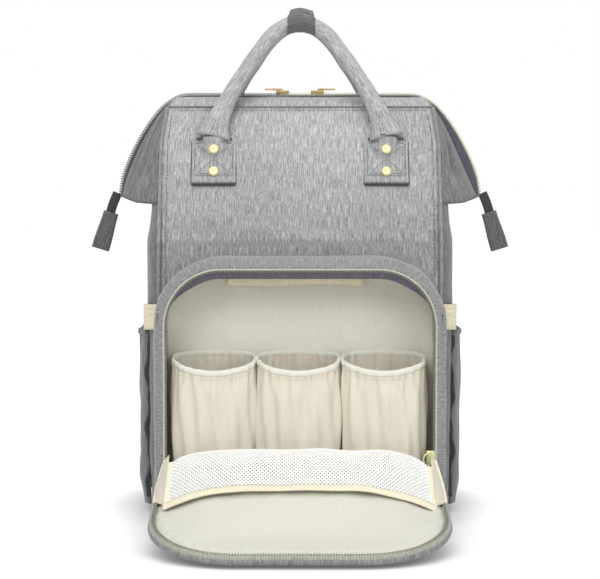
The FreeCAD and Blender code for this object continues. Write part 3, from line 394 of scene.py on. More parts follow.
def shell(name, grid, thick, look, ring=False, flip=False, uv_turn=False):
    """Cloth of even thickness: outer side p(u, v), inner side p(u, v) - thick * n(u, v), closed at its edges.

    With ring, the first and last columns of u are the same line and are welded.
    """
    grid = np.asarray(grid, float)
    nu, nv = grid.shape[:2]
    normal = grid_normals(grid, ring) * (-1 if flip else 1)
    u_run = np.mean([lengths(grid[:, k]) for k in (0, nv // 2, nv - 1)], axis=0)
    v_run = np.mean([lengths(grid[k]) for k in (0, nu // 2, nu - 1)], axis=0)
    u_map, v_map = net(u_run, v_run)
    if uv_turn:
        u_map, v_map = v_map, u_map
    uv = np.stack([u_map.ravel(), v_map.ravel()], axis=1)
    faces = [grid_faces(nu, nv, 0, flip), grid_faces(nu, nv, nu * nv, not flip)]
    rims = [(np.arange(nu) * nv, False), (np.arange(nu) * nv + nv - 1, True)]
    if not ring:
        rims += [(np.arange(nv), True), (np.arange(nv) + (nu - 1) * nv, False)]
    for line, turned in rims:
        a, b = line[:-1], line[1:]
        quads = np.stack([a, a + nu * nv, b + nu * nv, b], axis=1)
        faces.append(quads if turned == flip else quads[:, ::-1])
    points = np.concatenate([grid.reshape(-1, 3), (grid - thick * normal).reshape(-1, 3)])
    piece = build(name, points, np.concatenate(faces), look, np.concatenate([uv, uv]))
    if ring:
        work = bmesh.new()
        work.from_mesh(piece.data)
        bmesh.ops.remove_doubles(work, verts=work.verts, dist=1e-5)
        work.to_mesh(piece.data)
        work.free()
    return piece


def tube(name, path, wide, high, look, segments=14, up=(0, 0, 1), power=2.0, closed=False):
    """A filled bar along a path with a superellipse section: |a / wide|^power + |b / high|^power = 1."""
    path = np.asarray(path, float)
    count = len(path)
    wide, high = (np.broadcast_to(np.asarray(value, float), (count,)) for value in (wide, high))
    side, rise = frames_along(path, up)
    turn = np.linspace(0, 2 * np.pi, segments, endpoint=False)
    a, b = (np.sign(value) * np.abs(value) ** (2 / power) for value in (np.cos(turn), np.sin(turn)))
    points = (
        path[:, None]
        + side[:, None] * (wide[:, None] * a)[:, :, None]
        + rise[:, None] * (high[:, None] * b)[:, :, None]
    )
    round_run = np.linspace(0, 2 * np.pi * (wide.mean() + high.mean()) / 2, segments)
    u_map, v_map = net(lengths(path), round_run)
    uv = np.stack([v_map.ravel(), u_map.ravel()], axis=1)
    return build(name, points.reshape(-1, 3), loop_faces(count, segments, closed=closed), look, uv)


def cord(name, path, wide, high, look, up=FRONT_WAY):
    return tube(name, path, wide, high, look, 8, up=up)


def stitches(name, paths, look, pitch=3.2, long=2.2, thick=0.35, up=FRONT_WAY):
    """Rows of sewing thread: short fat dashes along each path."""
    points, faces = [], []
    for path in paths:
        path = np.asarray(path, float)
        run = lengths(path)
        count = max(2, int(run[-1] / pitch))
        for middle in (np.arange(count) + 0.5) * run[-1] / count:
            ends = at_runs(middle + np.array([-1, -0.6, 0.6, 1]) * long / 2, run, path)
            along = unit(ends[-1] - ends[0])
            side = unit(np.cross(along, up))
            rise = np.cross(side, along)
            faces += [face[::-1] for face in loop_faces(4, 4, len(points))]
            for spot, grow in zip(ends, (0.45, 1.0, 1.0, 0.45)):
                points += [spot + thick * grow * way for way in (side, rise, -side, -rise)]
    return build(name, points, faces, look)


def swept(name, base, profile, place, thick, look, scale, flip=False, wobble=0.0, seed=1):
    """Cloth whose profile of (outward offset, depth) is swept round an arch; place(x, depth, up) sets it."""
    side, run = out_of(base), lengths(base)
    profile = np.asarray(profile, float)
    shake = wobble * waves(run[:, None] * scale[0], profile[None, :, 1] * scale[1], seed)
    offset = profile[None, :, 0] + shake * np.sin(np.linspace(0, np.pi, len(profile)))[None, :]
    x = base[:, None, 0] + side[:, None, 0] * offset
    up = base[:, None, 1] + side[:, None, 1] * offset
    return shell(name, place(x, profile[None, :, 1] + 0 * x, up), thick, look, flip=flip)


def coil(name, path, outward, look, pitch=2.3, size=(1.5, 1.1, 2.0)):
    """Zip teeth: a tapered block at each step of a path, lying across it. size = (along, tall, across)."""
    path = np.asarray(path, float)
    run = lengths(path)
    count = int(run[-1] / pitch)
    goal = np.linspace(pitch / 2, run[-1] - pitch / 2, count)
    place = at_runs(goal, run, path)
    across = unit(at_runs(goal, run, np.asarray(outward, float)))
    along = unit(np.gradient(place, axis=0))
    tall = np.cross(along, across)
    a, t, c = (value / 2 for value in size)
    square = ((-1, -1), (1, -1), (1, 1), (-1, 1))
    shape = np.array([(i * a * (0.8 if j > 0 else 1), j * t, k * c) for k in (-1, 1) for i, j in square])
    points = (
        place[:, None]
        + along[:, None] * shape[None, :, :1]
        + tall[:, None] * shape[None, :, 1:2]
        + across[:, None] * shape[None, :, 2:]
    )
    quads = np.array([(0, 3, 2, 1), (4, 5, 6, 7), (0, 1, 5, 4), (1, 2, 6, 5), (2, 3, 7, 6), (3, 0, 4, 7)])
    faces = (quads[None] + 8 * np.arange(count)[:, None, None]).reshape(-1, 4)
    return build(name, points.reshape(-1, 3), faces, look)


def rounded_slab(name, half_x, half_y, corner, z_rows, insets, look, centre=(0, 0), stand=None):
    """A closed slab with round corners; each row of z has its own inset; stand(points) may turn it."""
    turn = np.linspace(0, np.pi / 2, 8)
    points = []
    for z, inset in zip(z_rows, insets):
        r = max(corner - inset, 0.5)
        for quarter, (sx, sy) in enumerate(((1, 1), (-1, 1), (-1, -1), (1, -1))):
            angles = turn + quarter * np.pi / 2
            x = centre[0] + sx * (half_x - inset - r) + r * np.cos(angles)
            y = centre[1] + sy * (half_y - inset - r) + r * np.sin(angles)
            points.append(xyz(x, y, z))
    points = np.concatenate(points)
    faces = [face[::-1] for face in loop_faces(len(z_rows), 4 * len(turn))]
    return build(name, stand(points) if stand else points, faces, look, points[:, :2])


# ---- main compartment
def lean_y(z):
    """Distance of the leaning mouth panel, and of the upright cloth below it, from the middle plane."""
    return DEEP - np.maximum(np.asarray(z, float) - FOLD_Z, 0) * (DEEP - SEAM_Y) / (SEAM_Z - FOLD_Z)


def on_panel(x, out, up):
    """A spot out from the front leaning panel and up along it."""
    y = -DEEP + up * math.sin(LEAN) - out * math.cos(LEAN)
    return xyz(x, y, FOLD_Z + up * math.cos(LEAN) + out * math.sin(LEAN))


def near_fold(z):
    return hump(z, FOLD_Z, 27)


def face_cloth(name, side):
    """Front or back cloth: puffed between its edges, drawn in and creased near the fold of the mouth."""
    z = np.concatenate([np.linspace(5, 250, 50), np.linspace(253, 275, 14), np.linspace(279, SEAM_Z, 40)])
    u, z = net(np.linspace(-1, 1, 90), z)
    x = u * (SEAM_X + 0.6 - 4.4 * ease(z, 350, SEAM_Z))
    edge = np.cos(np.pi * u / 2) ** 0.6
    puff = 2.2 * edge + 1.5 * edge * waves(x, z * 1.4, 3 if side < 0 else 4)
    crease = 0.9 * edge * hump(z, 272 + 8 * np.sin(x / 47.0), 3.5) * ease(np.abs(x), 20, 90)
    behind_pocket = (1 - ease(np.abs(x), 122, 128)) * (1 - ease(z, 236, 250)) if side < 0 else 0.0
    puff = (puff - crease) * ease(z, 5, 40) * (1 - ease(z, 374, SEAM_Z)) * (1 - behind_pocket)
    y = side * (lean_y(z) - 3.6 * near_fold(z) + puff)
    return shell(name, xyz(x, y, z), 3.2, "heather", flip=side > 0)


front_cloth = face_cloth("front_cloth", -1)
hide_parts("front_panel", "front_mouth_panel")
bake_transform(front_cloth)
back_cloth = face_cloth("back_cloth", 1)
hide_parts("back_panel", "back_mouth_panel")
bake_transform(back_cloth)


def side_cloth(name, side):
    """Side cloth: a rounded U in plan that bulges in the middle, its foot turned in."""
    turn = np.linspace(0, np.pi / 2, 9)
    rows = []
    for height in [4.5, 6, 8, 11, 15, 20, *np.linspace(28, 256, 40), *np.linspace(260, 297, 10)]:
        reach = float(lean_y(height)) - 0.4
        flat = reach - CORNER
        front = [(SEAM_X + 10 * np.sin(a), -reach + CORNER * (1 - np.cos(a))) for a in turn]
        middle = [(HALF, y) for y in np.linspace(-flat, flat, 34)[1:-1]]
        x, y = np.array(front + middle + [(x, -y) for x, y in front[::-1]], float).T
        bulge = 7.0 * np.cos(np.pi * y / (2 * reach)) * ease(height, 5, 60) * (1 - ease(height, 255, 297))
        fold = 1.2 * waves(y * 1.5, np.full(len(y), height), 11 + side, low=0.006, high=0.02)
        foot = 12 * (1 - math.sqrt(1 - (1 - min(height, 12.0) / 12.0) ** 2))
        x = x + bulge + fold * ease(x, SEAM_X, HALF) - foot * ease(x, SEAM_X - 2, HALF)
        rows.append(xyz(side * x, y, height))
    return shell(name, np.array(rows).transpose(1, 0, 2), 3.0, "heather_shaded_most", flip=side < 0)


for side, word in SIDES[::-1]:
    dress(side_cloth(f"side_cloth_{word}", side), "bag", f"side_panel_{word}")
heights, insets = [0.1, 0.6, 2.5, 5.0, 5.4], [9, 6.5, 3.5, 2.4, 4]
base = rounded_slab("base_cloth", HALF - 2, DEEP - 0.5, CORNER, heights, insets, "heather_shaded")
dress(base, "bag", "base_panel")

# piping and seams of the front cloth
low, high = np.linspace(6, 256, 30), np.linspace(268, 387, 20)
for side, word in SIDES:
    line = [(side * 132.6, -76.2, z) for z in low]
    line += [(side * 132.6 * (1 - 0.033 * ease(z, 350, 388)), -float(lean_y(z)) - 0.9, z) for z in high]
    pipe = cord(f"front_pipe_{word}", smooth_path(line[::-side], 100), 1.7, 1.7, "heather_shaded")
    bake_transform(pipe)
    if side < 0:
        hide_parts("front_piping")
z = np.linspace(150, 380, 60)
for side, word in SIDES:
    line = xyz(side * (126.4 - 4.2 * ease(z, 350, 388)), -lean_y(z) - 1.2 + 3.0 * near_fold(z), z)
    sewn = stitches(f"front_side_stitch_{word}", [line], "dark_thread", pitch=3.4, thick=0.3)
    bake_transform(sewn)
line = on_panel(np.linspace(-122, 122, 120), 1.2, (384.0 - FOLD_Z) / math.cos(LEAN))
dress(stitches("front_top_stitch", [line], "dark_thread", pitch=3.4, thick=0.3), "front_mouth")

# ---- front pocket
gusset_line = arch(foot=14.0, count=170, **POCKET)
turn = np.array([0.4, 0.8, 1.2, 1.57])
bottom = np.stack([gusset_line[0, 0] + 8 * (1 - np.cos(turn)), 14 - 8 * np.sin(turn)], axis=1)
gusset_line = np.concatenate([bottom[::-1], gusset_line, bottom * [-1, 1]])
roll = [(0, -75.5), (1.2, -80), (2.4, -88), (3.0, -98), (2.8, -108), (2.0, -117), (0.8, -123), (-0.8, -126.2),
        (-3.2, -128.0), (-6.0, -128.4)]  # fmt: skip
roll = smooth_path(roll, 26)
pace = (1.3, 2.0)
gusset = swept("pocket_gusset_cloth", gusset_line, roll, xyz, 2.4, "heather_shaded", pace, wobble=1.0, seed=21)
dress(gusset, "bag", "pocket_gusset")
u, y = net(np.linspace(-1, 1, 40), np.linspace(-75.6, -127, 14))
dress(shell("pocket_foot_cloth", xyz(u * 123, y, 6.4), 2.2, "heather_shaded", flip=True), "bag")
side_lining = [(0, -77.5), (-0.6, -90), (-0.8, -105), (-0.4, -118), (0, -125.8)]
line = arch(126.4, 238.4, 54.4, 8.0, 150)
inner = swept(
    "pocket_side_lining", line, side_lining, xyz, 0.8, "lining_shaded", pace, flip=True, wobble=0.8, seed=5
)
dress(inner, "bag")


def arch_half(a, half, top, corner):
    """Half width of an arch at height a."""
    over = np.clip(np.asarray(a, float) - (top - corner), 0, corner)
    return half - corner + np.sqrt(np.maximum(corner**2 - over**2, 0))


def arch_rows(foot, top, corner, rows):
    """Heights from foot to top, closer together near the top."""
    straight = np.linspace(foot, top - corner, rows // 2, endpoint=False)
    bend = top - corner + corner * np.sin(np.linspace(0, np.pi / 2, rows - rows // 2))
    return np.concatenate([straight, bend])


u, up = net(np.linspace(-1, 1, 80), arch_rows(20, 238.0, 54.0, 60))
x = u * arch_half(up, 126.2, 238.0, 54.0)
slack = 0.5 * np.sin(x / 9.0 + up / 30) * ease(up, 150, 230)
y = -77.4 - 0.9 * waves(x * 1.3, up, 8, low=0.01, high=0.04) - slack
dress(shell("pocket_back_cloth", xyz(x, y, up), 1.0, "lining_shaded"), "bag", "pocket_back_lining")
x, k = net(np.linspace(-68, 60, 60), np.linspace(0, 1, 5))
z = 219.0 + 9.0 * k + 0.8 * np.sin(x / 16.0) - 3.0 * (x / 100.0) ** 2
y = -80.2 - 1.4 * np.sin(np.pi * k) - 0.6 * np.sin(x / 7.0)
dress(shell("pocket_top_binding", xyz(x, y, z), 0.8, "binding"), "bag")

# zip round the pocket opening
line = arch(126.5, 238.5, 54.5, 196.0, 130)[:, None]
k = np.linspace(0, 1, 6)[None]
inward = 3.0 + 7.5 * ease(line[..., 1], 198, 234) * k
out = out_of(line[:, 0])[:, None]
hood = xyz(line[..., 0] - out[..., 0] * inward, -128.6 + 2.5 * k, line[..., 1] - out[..., 1] * inward)
dress(shell("pocket_zip_hood", hood, 0.9, "dark"), "bag")
line = arch(124.4, 236.4, 52.4, 50.0, 200)
dress(cord("pocket_zip_rope", xyz(line[:, 0], -130.0, line[:, 1]), 1.0, 1.0, "zip_rope"), "bag")
line = arch(126.5, 238.5, 54.5, 52.0, 150)
tape_roll = [(1.5, -128.9), (-1.5, -129.1), (-4.6, -129.0)]
tape = swept("pocket_tape", line, tape_roll, xyz, 0.8, "dark", pace)
dress(tape, "bag", "pocket_zip_tape")
line = arch(122.6, 234.6, 50.6, 56.0, 240)
out = out_of(line)
teeth = coil("pocket_teeth", xyz(line[:, 0], -129.3, line[:, 1]), xyz(out[:, 0], 0.0, out[:, 1]), "coil")
dress(teeth, "bag", "pocket_zip_teeth")


def bottle_sleeve(word, middle, seed):
    """A gathered sleeve: a superellipse in plan, pleats that shrink towards the elastic, its front dipped."""
    phases = np.random.default_rng(seed).uniform(0, 6.28, 6)
    t = np.linspace(0, 2 * np.pi, 181)
    cos, sin = np.cos(t), np.sin(t)
    power = 2.9
    radius = (np.abs(cos) ** power + np.abs(sin) ** power) ** (-1 / power)
    centre = np.array([middle, -103.2])
    rows = []
    for height in [*np.linspace(48.4, 60, 6), *np.linspace(64, 140, 30), *np.linspace(142, 153, 8)]:
        grow = 1 - ease(height, 118, 150)
        swell = 0.4 * grow + 0.9 * np.sin(np.pi * np.clip((height - 48) / 105, 0, 1))
        pleat = (
            0.55 * np.sin(17 * t + phases[0] + height / 26)
            + 0.5 * np.sin(9 * t + phases[1] - height / 18)
            + 0.45 * np.sin(5 * t + phases[2] + height / 37)
        )
        fine = np.sin(31 * t + phases[3] + np.sin(5 * t)) * (0.3 + 0.9 * hump(height, 143, 9))
        shift = (1.1 + 1.5 * grow) * pleat * ease(height, 46, 62) + fine * ease(height, 100, 143)
        shift = shift * (0.45 + 0.55 * np.abs(sin))
        dip = 12.0 * ease(height, 112, 153) * np.maximum(-sin, 0) ** 1.5
        lift = 2.5 * ease(height, 120, 153) * np.maximum(sin, 0) ** 2
        x = centre[0] + ((37.9 + 1.2 * swell) * radius + shift) * cos
        y = centre[1] + ((24.4 + 1.8 * swell) * radius + shift * 0.8) * sin
        rows.append(xyz(x, y, height - dip + lift))
    grid = np.array(rows).transpose(1, 0, 2)
    dress(shell(f"bottle_sleeve_{word}", grid, 1.0, "satin", ring=True), "bag", f"bottle_pocket_{word}")
    rim = tube(f"bottle_rim_{word}", grid[:-1, -1], 1.4, 3.0, "lining_shaded", 10, closed=True)
    dress(rim, "bag", *(["pocket_elastics"] if word == "centre" else []))
    lower = grid[:, -5].copy()
    lower[:, :2] = centre + (lower[:, :2] - centre) * (1.012, 1.015)
    name = f"bottle_stitch_{word}"
    dress(stitches(name, [lower], "cream_thread", pitch=3.0, long=1.6, thick=0.3, up=(0, 0, 1)), "bag")
    dress(rounded_slab(f"bottle_floor_{word}", 35, 24, 20, [48.2, 49.4], [0.5, 0.5], "satin", centre), "bag")


for number, (word, middle) in enumerate((("left", -79.0), ("centre", -1.5), ("right", 77.0))):
    bottle_sleeve(word, middle, 40 + number)


# ---- flap of the front pocket
def on_flap(x, out, along):
    """World spot from the flap's own frame: out is down from its zip plane, along is away from its hinge.

    The cloth droops by 5.5 towards its free end.
    """
    cos, sin = math.cos(FLAP_TURN), math.sin(FLAP_TURN)
    out = out + 5.5 * ease(along, 80, 182) * (1 - np.clip(out / 18.0, 0, 1))
    return xyz(x, HINGE[1] - out * cos - along * sin, HINGE[2] - out * sin + along * cos)


FLAP_UP = on_flap(0.0, -1.0, 0.0) - on_flap(0.0, 0.0, 0.0)
rim_roll = [(-2.4, 9.4), (-0.8, 8.6), (0.8, 8.8), (1.5, 9.8), (1.2, 11.2), (-1.0, 12.8), (-5, 14.6),
            (-10, 16.2), (-16, 17.4), (-22, 18.0)]  # fmt: skip
line = arch(foot=2.5, count=170, **FLAP)
rim_roll = smooth_path(rim_roll, 26)
pace = (1.0, 3.0)
rim = swept("flap_rim_cloth", line, rim_roll, on_flap, 1.6, "heather_shaded_more", pace, wobble=0.7, seed=31)
dress(rim, "flap", "flap_shell")


def flap_area(name, foot, half, top, corner, out, look, thick, flip):
    """A sheet over the flap's arch: out(x, along, edge) is its depth, edge the distance from its border."""
    u, a = net(np.linspace(-1, 1, 80), arch_rows(foot, top, corner, 60))
    x = u * arch_half(a, half, top, corner)
    edge = np.minimum(half - np.abs(x), top - a)
    over_x, over_a = np.abs(x) - (half - corner), a - (top - corner)
    bend = np.hypot(np.maximum(over_x, 0), np.maximum(over_a, 0))
    edge = np.where((over_x > 0) & (over_a > 0), np.minimum(edge, corner - bend), edge)
    return shell(name, on_flap(x, out(x, a, np.maximum(edge, 0)), a), thick, look, flip=flip)


def lining_out(x, a, edge):
    """The padded lining swells over the flap and is drawn down to the zip in small puckers."""
    pucker = (np.sin(x / 2.4 + a / 3.1) + 0.6 * np.sin(x / 4.9)) * hump(edge, 6, 4)
    dimple = 1.3 * waves(x * 1.2, a * 1.4, 17) * ease(edge, 2, 14)
    dome = 21.0 * ease(a, -10, 55) * (1 - ease(a, 88, 170)) * (1 - (np.abs(x) / 122.0) ** 2.6)
    dome = dome * ease(edge, 4, 40)
    tray = 7.0 - 4.6 * ease(edge, 0.5, 6.5) + 2.2 * ease(edge, 14, 40)
    return tray - dome + pucker * 1.3 - dimple


under = flap_area(
    "flap_under_cloth", 2.5, 118, 172, 66, lambda x, a, edge: 17.4 + 0 * x, "heather_shaded", 1.6, True
)
dress(under, "flap")
flap_lining = flap_area("flap_lining_cloth", 3.0, 124.8, 178.8, 72.8, lining_out, "lining_shaded_flap", 1.0, False)
dress(flap_lining, "flap", "flap_lining")
tape_roll = [(0.2, 9.8), (1.6, 8.2), (1.9, 6.2), (1.2, 4.2), (-0.6, 3.1), (-2.6, 3.6), (-4.8, 5.8),
             (-8.6, 9.5)]  # fmt: skip
line = arch(foot=4.0, count=150, **FLAP)
tape = swept("flap_tape", line, smooth_path(tape_roll, 20), on_flap, 0.7, "zip_edge", pace)
dress(tape, "flap", "flap_zip")
line = arch(126.2, 180.2, 74.2, 8.0, 240)
out = out_of(line)
across = on_flap(out[:, 0], 0.0, out[:, 1]) - on_flap(0.0, 0.0, 0.0)
dress(cord("flap_zip_rope", on_flap(line[:, 0], 3.6, line[:, 1]), 1.5, 1.3, "zip_rope", up=(0, 0, 1)), "flap")
dress(coil("flap_teeth", on_flap(line[:, 0], 2.3, line[:, 1]), across, "coil", size=(1.3, 1.0, 2.6)), "flap")

# mesh pocket on the flap: a lattice of thin strands over one puffed surface
MESH_LONG = 84.0


def mesh_spot(x, v):
    """The loose mesh: it rises fast behind the hinge and sinks towards its free edge at v = 1."""
    x, v = np.asarray(x, float), np.asarray(v, float)
    u = np.clip(np.abs(x + 2) / 121, 0, 1)
    plateau = (1 - 0.62 * u**9) * (1 - v) + (1 - u**3.2) * v
    rise = 33 * ease(v, -0.02, 0.14) - 9 * ease(v, 0.3, 1.0)
    ripple = 1.8 * waves(x * 1.2, v * 60, 77, high=0.025)
    return on_flap(x, 4.0 - (rise + ripple) * plateau, 5 + MESH_LONG * v + 9 * v * (1 - u**2))


def lattice(name, half, cell, look, strand):
    """Two families of strands crossing on the mesh surface."""
    points, faces = [], []
    run = MESH_LONG + 6
    v = np.linspace(0, 1, 26)
    for slant in (1, -1):
        start = -half - run
        while start < half + run:
            x = start + slant * 0.62 * (v * run)
            keep = np.abs(x) <= half
            start += cell
            if keep.sum() < 2:
                continue
            path = mesh_spot(x[keep], v[keep])
            sides = loop_faces(len(path), 4, len(points))
            faces += [face[::-1] for face in sides[:-2]] + sides[-2:]
            for spot, across, rise in zip(path, *frames_along(path)):
                points += [spot + strand * way for way in (across, 0.6 * rise, -across, -0.6 * rise)]
    return build(name, points, faces, look)


mesh = dress(lattice("flap_mesh", 118.0, 3.5, "mesh", 1.0), "flap", "flap_mesh_pocket")
x, v = net(np.linspace(-119, 119, 120), (0.93, 0.97, 1.01, 1.05))
mesh_band = shell("flap_mesh_band", mesh_spot(x, v) + 0.7 * FLAP_UP, 1.5, "binding")
dress(mesh_band, "flap", "flap_mesh_binding")
squashed = [mesh, mesh_band, flap_lining]
for side, word in SIDES:
    path = mesh_spot(np.full(40, side * 116.5), np.linspace(0.02, 0.99, 40)) + 0.6 * FLAP_UP
    hem = tube(f"flap_mesh_side_{word}", path, 3.0, 1.0, "binding", 10, up=FLAP_UP)
    squashed.append(dress(hem, "flap"))
anchor = tuple(on_flap(0.0, 12.0, 50.0) * MM)
for piece in squashed:
    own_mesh(piece)

# side bellows between the pocket's lower corners and the flap
t, s = np.linspace(0, 1, 24)[:, None], np.linspace(0, 1, 26)[None, :, None]
arc = np.sin(np.pi * t[:, 0])
for side, word in SIDES:
    apex = np.array([side * 119.5, -127.6, 66.0])
    inner = apex * (1 - t) + on_flap(side * 117.5, 1.0, 84.0) * t
    outer = (apex + [side * 3.5, 0, -3.0]) * (1 - t) + on_flap(side * 127.8, 2.0, 72.0) * t
    outer += xyz(side * 3.0 * arc**0.8, 0, -6.0 * arc)
    grid = inner[:, None] * (1 - s) + outer[:, None] * s
    k = s[..., 0]
    grid[:, :, 2] += (1.2 * np.sin(8 * t + 3 * k) + 2.0) * np.sin(np.pi * k) * np.sin(np.pi * t)
    bellow = shell(f"flap_side_bellow_{word}", grid, 0.9, "satin")
    hem = tube(f"flap_bellow_hem_{word}", grid[:, -1], 1.3, 1.3, "binding", 10)
    for piece in (bellow, hem):
        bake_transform(piece)
    if side < 0:
        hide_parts("flap_bellows")

# cloth hinge of the flap and the panel below it
rows = [(-125.6, 34.0), (-127.4, 41.0), (-128.6, 46.5), (-129.6, 49.0), (-131.2, 48.0), (-133.2, 44.0)]
rows += [tuple(on_flap(0.0, out, along)[1:]) for out, along in ((8.0, 5.0), (12.0, 8.0))]
rows = smooth_path(rows, 26)
x, k = net(np.linspace(-122, 122, 90), np.arange(26))
hinge_grid = xyz(x, rows[k, 0], rows[k, 1] + 0.5 * waves(x, k * 3.0, 61))
hinge_cloth = shell("flap_hinge_cloth", hinge_grid, 1.2, "lining")
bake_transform(hinge_cloth)
x, z = net(np.linspace(-126, 126, 60), np.linspace(7, 43, 14))
kick = shell("pocket_kick_cloth", xyz(x, -126.6 - 0.5 * waves(x, z * 2, 62), z), 1.6, "heather_shaded")
dress(kick, "bag", "pocket_kick_panel")


# ---- mouth: wings, band, zip
WING_LOW = np.array([127.6, -58.2, 300.0])
WING_TOP = np.array([ZIP_X, -4.0, ZIP_Z - 0.6])
WING_NORMAL = unit(np.cross(TIP - WING_LOW, WING_TOP - WING_LOW))
WING_NORMAL = WING_NORMAL * (-1 if WING_NORMAL[1] > 0 else 1)
ZIP_CURVE = [(TIP[0], 302.6), (171.0, 322.0), (161.5, 345.0), (148.5, 368.0), (134.0, 386.5), (121.5, 395.6),
             (112.0, 398.8), (100.0, 399.2), (88.0, 399.2)]  # fmt: skip


def zip_side(count):
    """One side of the zip line, from its tip up over the shoulder of the mouth."""
    return resample(smooth_path(ZIP_CURVE, 120), count)


def wing_grid(side, facing):
    """Wing cloth between the panel's edge and the zip, its free edge drawn back, dished and folded."""
    v = np.linspace(0, 1, 44)
    uu, vv = net(np.linspace(0, 1, 40), v)
    root_z = 297.5 + 92.5 * v
    narrow = ease(root_z, 350, 390)
    root = xyz(131.4 - 4.4 * narrow, -lean_y(root_z) - 0.4, root_z)
    rim = zip_side(160)
    edge_z = 302.6 + (WING_TOP[2] - 2.6 - 302.6) * v
    edge_x = np.interp(edge_z, rim[:, 1], rim[:, 0])
    back = 0.8 + (8.0 if side > 0 else 2.6) * np.sin(np.pi * v**0.75) ** 0.9
    edge = xyz(edge_x - 0.87 * back, -(3.6 + 0.55 * back), edge_z - 0.45 * back)
    corner = root + xyz(11.5 - 9.5 * narrow, 1.0 + 3 * narrow, 0)
    toward = corner * 0.5 + edge * 0.5 + xyz(1.5, -3.0 * (1 - v), 0)
    w = uu[:, :, None]
    grid = (1 - w) ** 3 * root[None] + 3 * (1 - w) ** 2 * w * corner[None]
    grid = grid + 3 * (1 - w) * w**2 * toward[None] + w**3 * edge[None]
    middle = ease(uu, 0.25, 0.6) * (1 - ease(uu, 0.85, 1.0)) * np.sin(np.pi * (vv * 0.96 + 0.04)) ** 0.7
    fold = hump(uu + 0.2 * vv, 0.68, 0.1) * np.sin(np.pi * vv * 0.95)
    pull = 1.5 * middle + 4.0 * fold + 1.5 * middle * np.sin(9.0 * uu * (1.4 - vv) + 1.2 * side + 4 * vv)
    pull = pull - 3.0 * np.sin(np.pi * uu) * hump(vv, 0.14, 0.13)
    ripple = waves(uu * 80, vv * 120, 90 + side, low=0.01, high=0.04)
    pull = pull + 1.2 * ease(uu, 0.2, 0.5) * np.sin(np.pi * uu) * ripple
    grid = grid - WING_NORMAL * pull[:, :, None]
    grid[:, :, 2] -= 4.0 * np.sin(np.pi * (uu * 0.8 + 0.1)) * (1 - vv) ** 5
    return grid * [side, facing, 1]


def wing_under(wing_points, side, facing):
    """The closing cloth under a wing, drawn up a little into the mouth."""
    outer = wing_points[:, 0] * [side, facing, 1]
    s, t = net(np.linspace(0, 1, len(outer)), np.linspace(0, 1, 16))
    inner = np.array([127.0, -4.4, 301.0]) * (1 - s)[:, :, None] + TIP * s[:, :, None]
    grid = outer[:, None] * (1 - t)[:, :, None] + inner * t[:, :, None]
    grid[:, :, 2] += 3.0 * np.sin(np.pi * t) * (1 - s)
    return grid * [side, facing, 1]


CHAIN = np.concatenate([zip_side(90) * [-1, 1], zip_side(90)[::-1]])
CHAIN = resample(CHAIN, 241)


def chain_at(out, y):
    """The zip line from tip to tip over both shoulders, moved outwards and set at y."""
    line = CHAIN + out_of(CHAIN) * out
    return xyz(line[:, 0], y, line[:, 1])


for facing, word in ((-1, "front"), (1, "back")):
    body = f"{word}_mouth"
    turned = -facing if facing > 0 else 1
    for side, hand in SIDES:
        flip = side * facing > 0
        points = wing_grid(side, turned)
        wing = shell(f"{word}_wing_{hand}", points, 1.8, "heather_shaded_most", flip=flip)
        dress(wing, body, *([f"{word}_wings"] if side < 0 else []))
        under = wing_under(points, side, turned)
        dress(shell(f"{word}_wing_under_{hand}", under, 1.2, "dark", flip=not flip), body)
    u, v = net(np.linspace(-1, 1, 90), np.linspace(0, 1, 10))
    half = 127.2 + (ZIP_X - 127.2) * v
    band_y = -(SEAM_Y + 0.4) * (1 - v) - 4.0 * v
    band_z = SEAM_Z - 0.4 + (ZIP_Z - 0.8 - SEAM_Z) * v
    band_z = band_z + 1.5 * np.sin(np.pi * v) + 0.5 * waves(u * 120, v * 30, 12)
    band_grid = xyz(u * half, facing * -band_y, band_z)
    band = shell(f"{word}_band_cloth", band_grid, 1.4, "heather", flip=facing > 0)
    dress(band, body, f"{word}_mouth_band")
    seam_line = xyz(np.linspace(-127, 127, 60), facing * (SEAM_Y + 0.9), SEAM_Z - 0.2)
    dress(cord(f"{word}_mouth_seam", seam_line, 1.0, 0.8, "heather_shaded", up=(0, 0, 1)), body)
    path, across = chain_at(1.2, facing * 1.75), np.tile([0.0, 1.0, 0.0], (241, 1))
    size = (1.5, 2.6, 2.0)
    zip_teeth = coil(f"{word}_mouth_teeth", path[110:], across[110:], "pale_gold", pitch=2.4, size=size)
    dress(zip_teeth, body, f"{word}_zip_teeth")
    far_teeth = coil(f"{word}_mouth_teeth_far", path[:111], across[:111], "dark", pitch=2.4, size=size)
    dress(far_teeth, body)
    tape_grid = np.stack([chain_at(out, facing * 3.1) for out in (-12.0, -8.0, -4.0, -1.5, 0.2)], axis=1)
    mouth_tape = shell(f"{word}_mouth_tape", tape_grid, 0.9, "dark", flip=facing < 0)
    dress(mouth_tape, body, f"{word}_zip_tape")
    edge_rows = ((-0.6, 4.6), (0.6, 4.3), (0.9, 3.4))
    edge_grid = np.stack([chain_at(out, facing * y) for out, y in edge_rows], axis=1)
    dress(shell(f"{word}_mouth_edge", edge_grid, 0.8, "heather_shaded", flip=facing > 0), body)

# ---- handles
LEG = [(83.5, -43.0, 345.0), (82.3, -42.2, 359.0), (76.0, -34.7, 379.0), (64.0, -26.5, 403.0),
       (46.0, -17.5, 431.0), (24.0, -10.5, 459.0), (0.0, -9.0, 469.0)]  # fmt: skip


